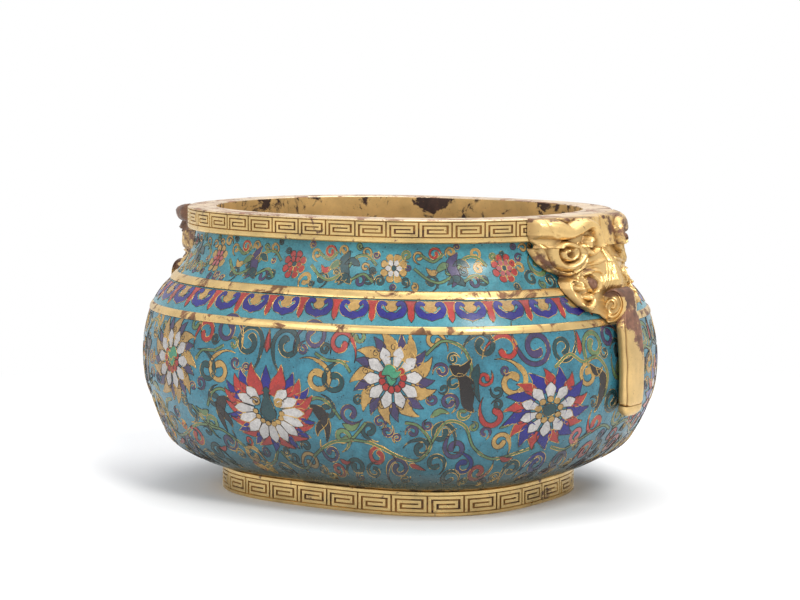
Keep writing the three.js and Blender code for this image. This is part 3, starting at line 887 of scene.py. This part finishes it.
def fillet(name, middle, node):
    """A band round the wall at a height, with a rounded face."""
    low, high = middle - FILLET_HALF, middle + FILLET_HALF
    profile = [(body_half_length(low) - FILLET_DEPTH, low)]
    for t in np.linspace(0, math.pi, 9):
        z = middle - FILLET_HALF * math.cos(t)
        profile.append((body_half_length(z) - FILLET_INSET + FILLET_RISE * math.sin(t), z))
    profile.append((body_half_length(high) - FILLET_DEPTH, high))
    band = make_mesh(name, *sweep(profile + profile[:1]), [fillet_gilding], sharp=60)
    fitted(band, node)


fillet("lower_fillet_band", LOWER_FILLET, "lower_fillet")

# Lappet border: cobalt cloud-heads with yellow hearts hang from the upper fillet, with red
# pendants between them, on turquoise glass fused onto the same copper.
LAPPETS = 39
CLOUD = [(0, 82.1), (1.9, 82.3), (3.7, 83.1), (5.1, 84.7), (4.7, 86.5), (3.1, 86.8), (2.3, 85.7)]
CLOUD_WIDTH = [(0, 1.6), (0.17, 1.05), (0.34, 1.5), (0.5, 1.15), (0.68, 1.0), (0.84, 0.7),
               (0.94, 0.95), (1, 0.3)]
HEART = [(87.6, 2.6), (86.4, 2.4), (85, 2.5), (84.2, 1.9), (83.6, 0.1)]
PENDANT = [(87.6, 2.5), (86.2, 1.6), (84.8, 1.2), (83.2, 1.4), (81.4, 1.15), (80.0, 0.1)]


def hang(f, rows, colour):
    """A cell that hangs straight down, from rows of (height, half width)."""
    f.cell([(0, z) for z, _ in rows], [half for _, half in rows], colour)


lappet_skin = Skin(body_half_length, 83.0, SINK)
lappet_turquoise = enamel("lappet_turquoise", (72, 144, 156), (50, 108, 120), 0.62)
enamel_ground("lappet_ground", lappet_skin, 78.35, 87.95, lappet_turquoise, 12, "lappet_enamel")
lappets = Inlay(lappet_skin)
cloud_line = smooth_line([(-x, z) for x, z in CLOUD[:0:-1]] + CLOUD, 7)
cloud_half = table(CLOUD_WIDTH, np.abs(np.linspace(-1, 1, len(cloud_line))))
for k in range(LAPPETS):
    unit = lappet_skin.girth / LAPPETS
    lappets.frame((k + 0.5) * unit, 0)
    hang(lappets, HEART, "yellow")
    lappets.layer += 1
    lappets.cell(cloud_line, cloud_half, "cobalt")
    lappets.frame(k * unit, 0, layer=2)
    hang(lappets, PENDANT, "red")
lappets.finish("lappet", 0.16)

# Upper fillet: the same gilded bronze band as below, soldered between the lappet border and
# the neck.
fillet("upper_fillet_band", UPPER_FILLET, "upper_fillet")

# Neck enamel: a narrow field of small blossoms on a scrolling stem, in the same glass and
# wire. It is more pitted than the belly.
BLOSSOMS = [("pink", "red", "teal"), ("white", "yellow", "teal"), ("red", "red", "teal"),
            ("pink", "yellow", "red")]
NECK_UNITS, NECK_MIDDLE = 12, 99.2
OUTER_PETAL = [(0, 0.6), (0.5, 1), (0.85, 0.9), (1, 0.3)]
INNER_PETAL = [(0, 0.5), (0.6, 1), (1, 0.3)]


def blossom(f, outer, inner, heart):
    """A small flower of eight outer and six inner petals."""
    f.whorl(8, 22, 3.4, 6.8, 1.8, outer, 0, OUTER_PETAL)
    f.layer += 1
    f.whorl(6, 0, 1.3, 4.3, 1.4, inner, 0, INNER_PETAL)
    f.layer += 1
    f.bead(0, 0, 1.3, heart)


def neck_scroll(f, leaf, bud):
    """The stem, curls and leaves from one blossom to the next."""
    for points in ([(7, 1), (11, 4.4), (16, 3.6), (20, -1.6), (26, -5), (31, -3.6), (35.6, 0)],
                   [(8, -5.4), (12, -2.4), (17, -4.6)], [(24, 5.6), (28, 2.6), (33, 5.2)]):
        f.stem(points, 0.5)
    for x, z, r, start, turns, width, colour in (
        (11.4, 5.6, 2.2, 200, -1.0, 0.5, "yellow"), (27.5, 5.4, 2.5, 140, -1.1, 0.55, "red"),
        (13.4, -5, 2.5, 60, 1.0, 0.55, "purple"), (29.5, -4.6, 2.6, 200, -1.0, 0.55, "teal"),
        (33.6, 4.4, 2.2, 330, 1.0, 0.5, "yellow"), (9.6, -4, 2.0, 300, -1.0, 0.5, "teal"),
        (21, 6.2, 1.9, 20, 1.1, 0.5, "yellow"),
    ):
        f.curl(x, z, r, start, turns, width, colour)
    for points, width, colour in (
        ([(18.4, 6), (21, 1.6), (19.6, -3.4), (22, -6.6)], 2.1, leaf),
        ([(17, -6.2), (20, -3.6), (23.5, -5.8)], 1.6, "teal"),
        ([(14, 0.6), (17.4, 2.4), (20.6, 1)], 1.4, "teal"),
        ([(22, 1.8), (25, 0.6), (27.4, -1.6)], 1.4, "stem"),
        ([(26.4, -0.6), (29, -1.6), (31, 0.4)], 1.2, bud),
    ):
        f.leaf(points, width, colour)


neck_skin = Skin(body_half_length, 99.0, SINK)
neck_turquoise = enamel("neck_turquoise", (64, 140, 152), (40, 96, 108), 0.57)
enamel_ground("neck_ground", neck_skin, 90.85, 108.65, neck_turquoise, 20, "neck_enamel")
neck = Inlay(neck_skin)
for k in range(NECK_UNITS):
    place = k * neck_skin.girth / NECK_UNITS
    inner, outer, heart = BLOSSOMS[(min(k, NECK_UNITS - k) - 1) % len(BLOSSOMS)]
    mirror = 1 if k <= NECK_UNITS / 2 else -1
    neck.frame(place, NECK_MIDDLE, mirror, scale=0.8)
    blossom(neck, outer, inner, heart)
    neck.frame(place, NECK_MIDDLE, mirror)
    neck_scroll(neck, ("teal", "purple")[k % 2], ("red", "yellow")[k % 2])
fill_with_curls(neck, neck.taken, 5, 92, 107.6, ["teal", "purple", "stem", "yellow"], 1.7, 900)
neck.finish("neck", 0.15)

# Mouth ring: a heavy gilded ring with a broad flat lip, a key fret round its outer band and
# a sleeve that fits inside the neck. The lip's top is rubbed to a pinkish brown.
lip_gilding = gilding("gilding_lip", (224, 200, 168), (136, 100, 78), 0.52, 0.4)
sleeve_gilding = gilding("gilding_sleeve", (234, 194, 126), (58, 40, 34), 0.525, 0.42, 0.55, 60)
MOUTH_PROFILE = [(78.3, 117.7, LIP), (78.6, TOP, LIP), (82, TOP, LIP), (86, TOP, LIP),
                 (89.4, TOP, LIP), (89.9, 117.6, RING), (89.9, 117.35, RING),
                 (89.45, 117.2, GROUND), (89.45, 111.2, RING), (89.95, 110.95, RING),
                 (89.95, 109.5, RING), (89.5, 108.9, RING), (89.0, 108.7, RING),
                 (80.2, 108.7, SLEEVE), (80.2, 98.8, SLEEVE), (79.9, 98.7, SLEEVE),
                 (78.4, 98.7, SLEEVE), (78.25, 99.1, SLEEVE)]
ring("mouth_band", MOUTH_PROFILE, [ring_gilding, groove_brown, lip_gilding, sleeve_gilding],
     "mouth_ring")
mouth_face = Skin(lambda z: MOUTH, 114.0)
key_fret("mouth_fret", mouth_face, low=111.95, high=116.45, units=41, half=0.57, top=-0.1, foot=-0.6)

# Handle masks: a beast mask cast in bronze on each end and gilded, bent to sit against the
# neck and the mouth ring. Brow clouds, spiral ears, eyes and curled cheeks are chased in
# relief, and its lower edge ends in the roll that the trunk hangs from.
mask_gilding = gilding("gilding_masks", (234, 197, 132), (104, 72, 54), 0.61, 0.34, 0.85, 150, True)
SIDES = {"right": 1, "left": -1}
# The two are separate castings: the left one is a little fuller. The left end is also painted browner
# all over, as painted shade for its side turned from the light.
SWELL = {"right": 0.0, "left": 1.0}
PAINTED_SHADE_BY_SIDE = {"right": 0.0, "left": 0.36}
MASK_FOOT, MASK_EDGE, MASK_ROWS, MASK_COLUMNS = 78.0, 0.9, 122, 192
SPAN = [(78, 10.5), (80, 13), (81.6, 19.5), (84, 22.6), (87, 23.8), (90.5, 24.2), (93, 23.4),
        (94.6, 21.4), (95.5, 22.2), (97, 26), (100, 29), (104, 31), (106, 31.8), (107.4, 31),
        (109, 32.8), (112, 33.9), (118, 33.8)]
CROWN = [(78, 0.2), (82, 0.6), (85, 1.6), (88, 4.4), (91, 8.4), (93, 10.2), (96, 11),
         (100, 11.2), (106, 10.2), (112, 8.4), (118, 7.4)]
FULLER = [(84, 0), (90, 2.4), (97, 2.2), (102, 4), (106, 4.6), (109, 2.6), (112, 5), (115, 7.6),
          (118, 7)]
RING_FROM, NECK_GAP, BACK_GAP = 106.3, 0.4, 0.3
# Each ridge is a line of (distance from the middle, height), its half width by share of its
# length, and its rise.
RIDGES = [
    ([(33.6, 113.8), (29.9, 113.9), (25.7, 113.5), (21.7, 112.4), (18.5, 113.4), (14.2, 115.2),
      (10.9, 114.8), (8.9, 112.5), (8.5, 109), (8.9, 105.4), (11.9, 103.9), (13.7, 105.6),
      (14.6, 108.0), (13.5, 109.5)],
     [(0, 3.9), (0.2, 3.9), (0.3, 2.9), (0.42, 3.0), (0.52, 2.2), (0.7, 1.65), (0.85, 1.2),
      (1, 0.9)], 3.7),
    ([(16.6, 106.7), (14.9, 103.8), (17.4, 100.6), (20.5, 98.7), (23.2, 99.3), (24.8, 101.7),
      (25.3, 104.4), (24.7, 107.0), (22.8, 107.9), (20.2, 107.2), (18.2, 105.5), (18.5, 103.2),
      (20.3, 101.9), (22.1, 102.5), (22.6, 104.2), (21.6, 105.3)],
     [(0, 1.5), (0.1, 1.7), (0.28, 1.8), (0.42, 1.25), (0.55, 1.1), (0.7, 1.15), (0.85, 1.0),
      (1, 0.8)], 3.1),
    ([(13.6, 102.0), (15.0, 99.6), (17.5, 97.6), (19.9, 95.7), (22.9, 96.4)],
     [(0, 0.7), (0.5, 1.5), (1, 0.8)], 1.7),
    ([(31.2, 107.2), (28.8, 106.2), (27.6, 103), (26.4, 99.4), (24.2, 97.2)],
     [(0, 1.1), (0.4, 1.0), (1, 0.7)], 1.2),
    ([(19.4, 90.4), (18.6, 91.6), (18.9, 93.2), (20.4, 93.9), (22.0, 92.9), (23.0, 90.8),
      (23.3, 88.0), (22.9, 85.4), (21.3, 83.5), (18.9, 83.1), (16.7, 84.2), (15.4, 86.1),
      (16.2, 87.8), (17.6, 87.2)],
     [(0, 0.8), (0.25, 0.9), (0.5, 1.35), (0.75, 1.3), (0.9, 0.9), (1, 0.8)], 2.6),
    ([(0, 106), (0.3, 98), (0.2, 92), (0, 88)], [(0, 1.2), (0.5, 2.2), (1, 3.4)], 1.5),
    ([(4.4, 101.0), (8.6, 100.2), (14, 99.2)], [(0, 0.7), (0.5, 0.9), (1, 0.5)], 1.0),
    ([(17.9, 94.2), (16.6, 95.9), (13.0, 97.2), (9.4, 97.0), (8.0, 95.0), (9.4, 91.6)],
     [(0, 0.6), (0.4, 1.0), (1, 0.6)], 1.3),
]
RIDGES = [(smooth_line(line, 8), radii, rise) for line, radii, rise in RIDGES]
CUTS = [smooth_line(line, 8) for line in (
    [(29.6, 117.7), (29.7, 115.6), (29.1, 113.4), (27.7, 111.6), (26.3, 111.0)],
    [(24.8, 117.9), (21.2, 115.9), (18.4, 116.8), (16.2, 118)],
    [(3.7, 100), (5.0, 97), (6.6, 94.2), (7.4, 91)],
    [(2.2, 99.8), (3.7, 96.2), (5.6, 92.6), (6.4, 90)],
    [(0.7, 99.6), (2.6, 95.4), (4.3, 91.7), (5.0, 89)],
    [(29.8, 105.4), (28.2, 102.6), (27.6, 100.2)],
    [(28.9, 102.6), (27.4, 99.6), (26.0, 97.6)],
    [(26.0, 97.8), (24.6, 96.4), (22.8, 95.6)],
    [(0, 117.8), (0, 112), (0, 106)],
)]
KNOBS = [(21.5, 105.2, 1.1), (13.3, 109.4, 1.6), (19.6, 90.5, 1.25), (17.6, 87.1, 1.25)]
KNOB_RISE, CUT_DEPTH, CUT_WIDTH = 3.7, 0.55, 0.3
EYE_Y, EYE_Z, EYE_RING, EYE_BALL = 14.0, 92.4, 3.7, 2.7
ROLL_X, ROLL_Z, ROLL_DEPTH, ROLL_RISE, ROLL_EDGE = 106.1, 83.0, 4.7, 6.8, 0.9
ROLL_HALF = [(75.5, 7.3), (77, 6.6), (80, 5.2), (83, 4.4), (92, 3.9)]
ROLL_SPLAY, ROLL_TURNS = 1.9, 1.9
ROLL_AROUND, BARREL_ROWS, VOLUTE_ROWS = 72, 27, 34


def backing(y, z):
    """How far out the face lies that the mask sits against: the neck, and above it the ring."""
    a = np.where(z > RING_FROM, MOUTH, body_half_length(z) + NECK_GAP)
    n = BODY_SQUARENESS
    return a * (1 - np.abs(y / (a - BODY_NARROWER)) ** n) ** (1 / n) + BACK_GAP


def distance(y, z, line):
    """Distance from each point to a polyline, and how far along it the nearest place is."""
    best = np.full(y.shape, 1e9)
    share = np.zeros(y.shape)
    run = run_share(line)
    for i, (p, q) in enumerate(zip(line, line[1:])):
        d = q - p
        t = np.clip(((y - p[0]) * d[0] + (z - p[1]) * d[1]) / (d @ d), 0, 1)
        gap = np.hypot(y - p[0] - t * d[0], z - p[1] - t * d[1])
        near = gap < best
        best = np.where(near, gap, best)
        share = np.where(near, run[i] + t * (run[i + 1] - run[i]), share)
    return best, share


def run_share(line):
    """How far along a polyline each of its points lies, from 0 to 1."""
    steps = np.linalg.norm(np.diff(line, axis=0), axis=1)
    return np.concatenate([[0], np.cumsum(steps)]) / steps.sum()


def bell(value, width):
    """1 where the value is 0, fading to 0 on both sides."""
    return np.exp(-((value / width) ** 2))


def dome(value, radius):
    """A half round over a radius."""
    return np.sqrt(np.clip(1 - (value / radius) ** 2, 0, 1))


def fade(value, start, over):
    """0 at the start and 1 a given way over it; a way below 0 runs downwards."""
    return np.clip((value - start) / over, 0, 1)


def arc(share):
    """A quarter round: 0 at the edge itself and 1 from share 1 inwards."""
    return np.sqrt(1 - (1 - np.clip(share, 0, 1)) ** 2)


def mask_relief(y, z):
    """Height of the chasing over the mask's ground."""
    y = np.abs(y)
    height = np.zeros(y.shape)
    for line, radii, rise in RIDGES:
        gap, share = distance(y, z, line)
        r = table(radii, share)
        body = rise * np.clip(1 - (gap / r) ** 2.2, 0, 1) ** 0.55
        body -= 0.4 * bell(gap - r + 0.8, 0.25) * (r > 1.25)
        height = np.maximum(height, body) - 0.7 * bell(gap - r - 0.25, 0.4)
    lean = (y - EYE_Y) - 0.1 * (z - EYE_Z)
    gap = np.hypot(lean / 0.72, z - EYE_Z)
    height = height + 2.1 * bell(gap - EYE_RING, 0.55) + 1.9 * dome(gap, EYE_BALL)
    height = height - 0.8 * bell(gap, 0.8)
    for knob_y, knob_z, radius in KNOBS:
        knob = KNOB_RISE * dome(np.hypot(y - knob_y, z - knob_z), radius)
        height = np.maximum(height, knob)
    for line in CUTS:
        gap, _ = distance(y, z, line)
        height -= CUT_DEPTH * bell(gap, CUT_WIDTH)
    parting = 2.2 * bell(y, 3.2) * fade(z, 101, 4)
    return height - parting


def soften(values, times):
    """The values, each blended with its neighbours so many times."""
    for _ in range(times):
        p = np.pad(values, 1, mode="edge")
        values = (p[1:-1, 1:-1] * 2 + p[:-2, 1:-1] + p[2:, 1:-1] + p[1:-1, :-2]
                  + p[1:-1, 2:]) / 6
    return values


def on_roll(r, a, across, proud, swell, recess, wear):
    """Points at a share r of the roll's radius and angle a, kept outside the body.

    across runs from -1 to 1 over the roll's width, proud stands out from it at its sides,
    and swell enlarges the whole roll.
    """
    z = ROLL_Z + 1.7 * swell + (ROLL_RISE + 0.4 * swell) * r * np.sin(a)
    half = table(ROLL_HALF, z) + ROLL_SPLAY * (1 - r * np.cos(a)) + 5 * swell
    y = across * (half + proud)
    y, z = np.broadcast_arrays(y, z + 0 * y)
    x = ROLL_X + 2.1 * swell + (ROLL_DEPTH + 0.9 * swell) * r * np.cos(a)
    x = np.maximum(x, backing(y, z) + BACK_GAP)
    return np.stack(np.broadcast_arrays(x, y, z, recess, wear), -1).reshape(-1, 5)


def volute(side, swell):
    """The spiral on one side face of the roll: points and faces."""
    r = np.linspace(0, 1, VOLUTE_ROWS)[:, None]
    a = angles(ROLL_AROUND)[None, :]
    wave = 0.5 + 0.5 * np.cos(2 * np.pi * ROLL_TURNS * r - (a + 2.4))
    ridge = np.maximum(wave**2.2 * fade(r, 0.86, -0.12), bell(r - 0.9, 0.07))
    heart = np.clip(r / 0.08, 0, 1)
    ridge = heart * ridge + (1 - heart) * 0.5
    round_off = arc((1 - r) / 0.1)
    # Painted shade in the spiral's valleys: they are browned through the wear share and darkened with
    # grime and painted shade through the recess share. The upper part's browning is wear.
    wear = fade(r * np.sin(a), 0.42, 0.3) + 0.2 * (1 - ridge)
    proud = (1.15 * ridge - 0.35) * round_off - ROLL_EDGE * (1 - round_off)
    recess = (1 - ridge) ** 2 * fade(r, 0.9, -0.06) * 0.5
    points = on_roll(r, a, side, proud, swell, recess, wear)
    return points, grid_faces(VOLUTE_ROWS, ROLL_AROUND, wrap=True)


def mask_plate(swell):
    """The chased plate from its foot to the lip: points and faces."""
    share = np.linspace(-1, 1, MASK_COLUMNS)[None, :]
    z = np.linspace(MASK_FOOT, TOP, MASK_ROWS)[:, None] + 0 * share
    span = table(SPAN, z)
    y = share * span
    back = backing(y, z)
    edge = np.clip((1 - np.abs(share)) * span / 1.5, 0, 1)
    rounding = arc(edge) * arc((z - MASK_FOOT) / 2.0) * arc((TOP - z) / 0.8)
    relief = mask_relief(y, z)
    crown = (table(CROWN, z) + swell * table(FULLER, z)) * (1 - share**2)
    front = back + MASK_EDGE * (0.25 + 0.75 * rounding) + crown + relief * np.clip(edge * 1.3, 0, 1)
    z = z - 0.16 * swell * crown * fade(z, 108, 10)
    # Grime and painted shade in the hollows of the chasing, and painted shade along the side edges
    # where the plate meets the neck.
    dark_hollows_and_edges = np.clip((soften(relief, 30) - relief - 0.1) * 0.75, 0, 1)
    dark_hollows_and_edges = np.maximum(dark_hollows_and_edges, np.clip(0.75 - edge, 0, 0.6))
    flank = 0.5 * fade(np.abs(share), 0.8, 0.1) * (z > 94.6) * (z < 107.4)
    hook = 0.62 * fade(y, 1, 3) * fade(z, 104, 4)
    pupil = 1.2 * (np.hypot((np.abs(y) - EYE_Y) / 1.7, (z - EYE_Z) / 2.5) < 1)
    rubbed = np.maximum(np.maximum(flank, hook), np.maximum(pupil, 0.5 * (z > 116.6)))
    plain = np.zeros_like(y)
    faced = np.stack([front, y, z, dark_hollows_and_edges, rubbed], -1)
    backed = np.stack([back + 0.05, y, z, plain, plain], -1)
    around = 2 * MASK_COLUMNS
    faces = grid_faces(MASK_ROWS, around, wrap=True)
    for first in (0, (MASK_ROWS - 1) * around):
        last = first + around - 1
        faces += [[first + j, first + j + 1, last - j - 1, last - j] for j in range(MASK_COLUMNS - 1)]
    return np.concatenate([faced, backed[:, ::-1]], 1).reshape(-1, 5), faces


def mask_shape(swell):
    """A mask and its roll, as rows of x, y, z, grime with painted shade, wear with painted shade, and
    faces.
    """
    across = np.linspace(-1, 1, BARREL_ROWS)[:, None]
    a = angles(ROLL_AROUND)[None, :]
    upper = fade(np.cos(a - 0.7), -0.1, 0.3)
    barrel = on_roll(1.0, a, across, -ROLL_EDGE, swell, 0.0, upper)
    return joined([mask_plate(swell), (barrel, grid_faces(BARREL_ROWS, ROLL_AROUND, wrap=True)),
                   volute(-1, swell), volute(1, swell)])


def handle_piece(name, part, node, shape, material):
    """One end's casting, made for the right end and turned round for the left one."""
    rows, faces = shape
    turned = rows[:, :3] * (SIDES[name], SIDES[name], 1)
    # The left end's wear share is raised as painted shade, which browns its mask, trunk and trunk
    # end.
    piece = make_mesh(f"{name}_{part}", turned, faces, [material], sharp=60, recess=rows[:, 3],
                      wear=rows[:, 4] + PAINTED_SHADE_BY_SIDE[name])
    fitted(piece, f"{name}_handle_{node}")


for name in SIDES:
    handle_piece(name, "mask", "mask", mask_shape(SWELL[name]), mask_gilding)

# Trunks: a broad curved strap cast in bronze, which hangs from the roll and lies against
# the belly. Handling has worn its upper face to brown, and a chased line runs down it.
trunk_gilding = gilding("gilding_trunks", (234, 198, 134), (122, 84, 66), 0.62, 0.34, 0.85, 380, True)
TRUNK = smooth_line([(107.9, 82.4), (108.7, 80), (109.7, 76), (110.6, 70), (111.3, 62),
                     (111.4, 56), (111.4, 52), (111.1, 45), (110.1, 39.6)], 16)
TRUNK_WIDTH = [(39, 5.6), (40.5, 6.4), (44, 7.3), (50, 7.7), (60, 7.9), (70, 7.7), (75, 7.3),
               (77, 6.6), (80, 5.1), (82.4, 4.0)]
WORN_EDGE = [(60.5, 9.0), (62.5, 6.0), (65, 2.2), (67, 0.2), (71, -1.2), (75, -6.4), (78, -9.0)]
STRAP_ROWS, STRAP_AROUND, STRAP_SQUARENESS = 64, 72, 3.6


def strap(first, last, half_depth, rows, round_from, round_by, lip=0.0):
    """Part of the trunk between two shares of its length, with rounded ends."""
    share, t = np.linspace(first, last, rows), np.linspace(0, 1, rows)[:, None]
    line = np.stack([np.interp(share, run_share(TRUNK), TRUNK[:, k]) for k in (0, 1)], 1)
    along = np.gradient(line, axis=0)
    along /= np.linalg.norm(along, axis=1, keepdims=True)
    x, z, along_x, along_z = line[:, :1], line[:, 1:], along[:, :1], along[:, 1:]
    a = angles(STRAP_AROUND)
    out, across = (np.sign(v) * np.abs(v) ** (2 / STRAP_SQUARENESS) for v in (np.cos(a), np.sin(a)))
    ends = 1 - round_by * fade(t, round_from, 1 - round_from) ** 2
    width = table(TRUNK_WIDTH, z) * ends
    y = across * width
    seam = 0.86 * width + 0.12 * np.sin(z * 0.5)
    cut = 0.0 if lip else 0.45 * bell(np.abs(y) - seam, 0.3) * (np.cos(a) > 0.1)
    depth = out * (half_depth * ends + lip * np.sin(math.pi * t)) - cut
    # Grime and painted shade in the chased line, and painted shade along the strap's side flanks.
    recess = np.clip(cut * 2.6 + (np.abs(out) < 0.25) * 0.3, 0, 1)
    strip = np.clip((6.9 - y + np.maximum(0, z - 75)) / 0.8, 0, 1)
    wear = np.clip((y - table(WORN_EDGE, z)) / 6 + 0.5, 0, 1) * strip
    columns = np.broadcast_arrays(x - along_z * depth, y, z + along_x * depth, recess, wear)
    return np.stack(columns, -1).reshape(-1, 5), tube_faces(rows, STRAP_AROUND)


trunk_shape = strap(0.0, 0.903, 2.55, STRAP_ROWS, 0.965, 0.16)
for name in SIDES:
    handle_piece(name, "trunk", "trunk", trunk_shape, trunk_gilding)

# Trunk ends: a short rolled lip of gilded bronze on the end of each trunk, made apart and
# soldered on.
end_shape = strap(0.905, 1.0, 2.35, 22, 0.3, 0.34, lip=0.3)
for name in SIDES:
    handle_piece(name, "trunk_end", "trunk_cap", end_shape, trunk_gilding)

# Rivets: three copper rivets hold each mask from inside the neck. Their domed heads show
# on the inner wall, hammered and gilded with it.
rivet_gilding = gilding("gilding_rivets", (206, 164, 96), (84, 58, 44), 0.52, 0.4)
RIVETS, RIVET_AROUND, SHANK = 3, 32, 1.8
RIVET_HEAD = [(0, 0.0), (1.4, 0.15), (2.6, 0.55), (3.3, 1.1), (3.55, 1.6), (SHANK, 1.62)]


def rivet(name, node, side):
    """A rivet in the place of its solid, with its head on the inside."""
    low, high = (np.array(corner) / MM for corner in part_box(node))
    inner = low[0] if side > 0 else high[0]
    length = high[0] - low[0]
    middle = (low + high) / 2
    profile = RIVET_HEAD + [(SHANK, length - 0.2), (SHANK - 0.2, length), (0, length)]
    a = angles(RIVET_AROUND)
    points = [np.stack([np.full(RIVET_AROUND, inner + side * x), middle[1] + r * np.cos(a) * side,
                        middle[2] + r * np.sin(a)], -1) for r, x in profile]
    faces = grid_faces(len(profile), RIVET_AROUND, wrap=True)
    fitted(make_mesh(name, np.vstack(points), faces, [rivet_gilding]), node)


for name, side in SIDES.items():
    for k in range(1, RIVETS + 1):
        rivet(f"{name}_rivet_{k}", f"{name}_handle_rivet_{k}", side)

# Floor, light and camera: a pale seamless ground under large soft lights, seen from the
# photograph's place, a little above the burner and 34 degrees to its side.
GROUND_HALF = 4000
WHITE_FROM, WHITE_PAST = 0.2, 0.42
AZIMUTH, ELEVATION, DISTANCE = math.radians(34), math.radians(5.82), 1.0559
AIM = Vector((0.0011, 0, 0.0788))
LENS_PIXELS, PHOTO_PIXELS, SENSOR = 2525, 800, 36


def camera_white(nodes, surface, white, output, where=None):
    """Shows plain white to the camera and in reflections instead of the surface."""
    path = nodes.add("LightPath").outputs
    share = path["Is Camera Ray"]
    for ray in ("Is Glossy Ray", "Is Transmission Ray"):
        share = nodes.maths("MAXIMUM", share, path[ray])
    if where:
        share = nodes.maths("MULTIPLY", share, where)
    plain = nodes.add(white, Color=(1, 1, 1, 1), Strength=1.0)
    blend = nodes.add("MixShader")
    for socket, value in zip(blend.inputs, (share, surface, plain.outputs[0])):
        nodes.put(socket, value)
    nodes.feed(nodes.tree.nodes[output], Surface=blend.outputs[0])


def softbox(name, place, aim, size, watts, colour=(1, 1, 1)):
    """A rectangular lamp that faces a point."""
    data = bpy.data.lights.new(name, "AREA")
    data.shape = "RECTANGLE"
    data.size, data.size_y = size
    data.energy = watts
    data.color = colour
    lamp = bpy.data.objects.new(name, data)
    lamp.location = place
    lamp.rotation_euler = (Vector(aim) - Vector(place)).to_track_quat("-Z", "Y").to_euler()
    scene.collection.objects.link(lamp)


pale = Finish("pale_floor")
pale.feed(pale.shader, Base_Color=(0.9, 0.9, 0.9, 1), Roughness=0.9, Specular_IOR_Level=0.1)
reach = pale.add("VectorMath")
reach.operation = "LENGTH"
pale.put(reach.inputs[0], pale.coords)
far = pale.map_range(reach.outputs["Value"], WHITE_FROM, WHITE_PAST)
camera_white(pale, pale.shader.outputs[0], "Emission", "Material Output", far)
corners = [(x * GROUND_HALF, y * GROUND_HALF, 0) for x, y in ((-1, -1), (1, -1), (1, 1), (-1, 1))]
make_mesh("floor", corners, [(0, 1, 2, 3)], [pale.material])

scene = bpy.context.scene
scene.view_settings.view_transform = "Standard"
scene.world = bpy.data.worlds.new("studio")
sky = Nodes(scene.world)
sky_light = sky.feed(sky.tree.nodes["Background"], Color=(0.95, 0.97, 1.0, 1), Strength=0.66)
camera_white(sky, sky_light.outputs[0], "Background", "World Output")
softbox("key", (1.0, -0.6, 1.2), (0, 0, 0.06), (0.4, 0.6), 14, (1, 0.98, 0.95))
softbox("fill", (-0.5, -1.3, 0.9), (0, 0, 0.06), (0.9, 0.9), 6)
softbox("top", (0, 0.3, 1.5), (0, 0, 0.05), (1.2, 1.2), 11)

direction = Vector((math.sin(AZIMUTH) * math.cos(ELEVATION),
                    -math.cos(AZIMUTH) * math.cos(ELEVATION), math.sin(ELEVATION)))
camera_data = bpy.data.cameras.new("camera")
camera_data.sensor_width = SENSOR
camera_data.lens = LENS_PIXELS * SENSOR / PHOTO_PIXELS
camera_data.clip_start = 0.05
camera = bpy.data.objects.new("camera", camera_data)
camera.location = AIM + direction * DISTANCE
camera.rotation_euler = (-direction).to_track_quat("-Z", "Y").to_euler()
scene.collection.objects.link(camera)
scene.camera = camera
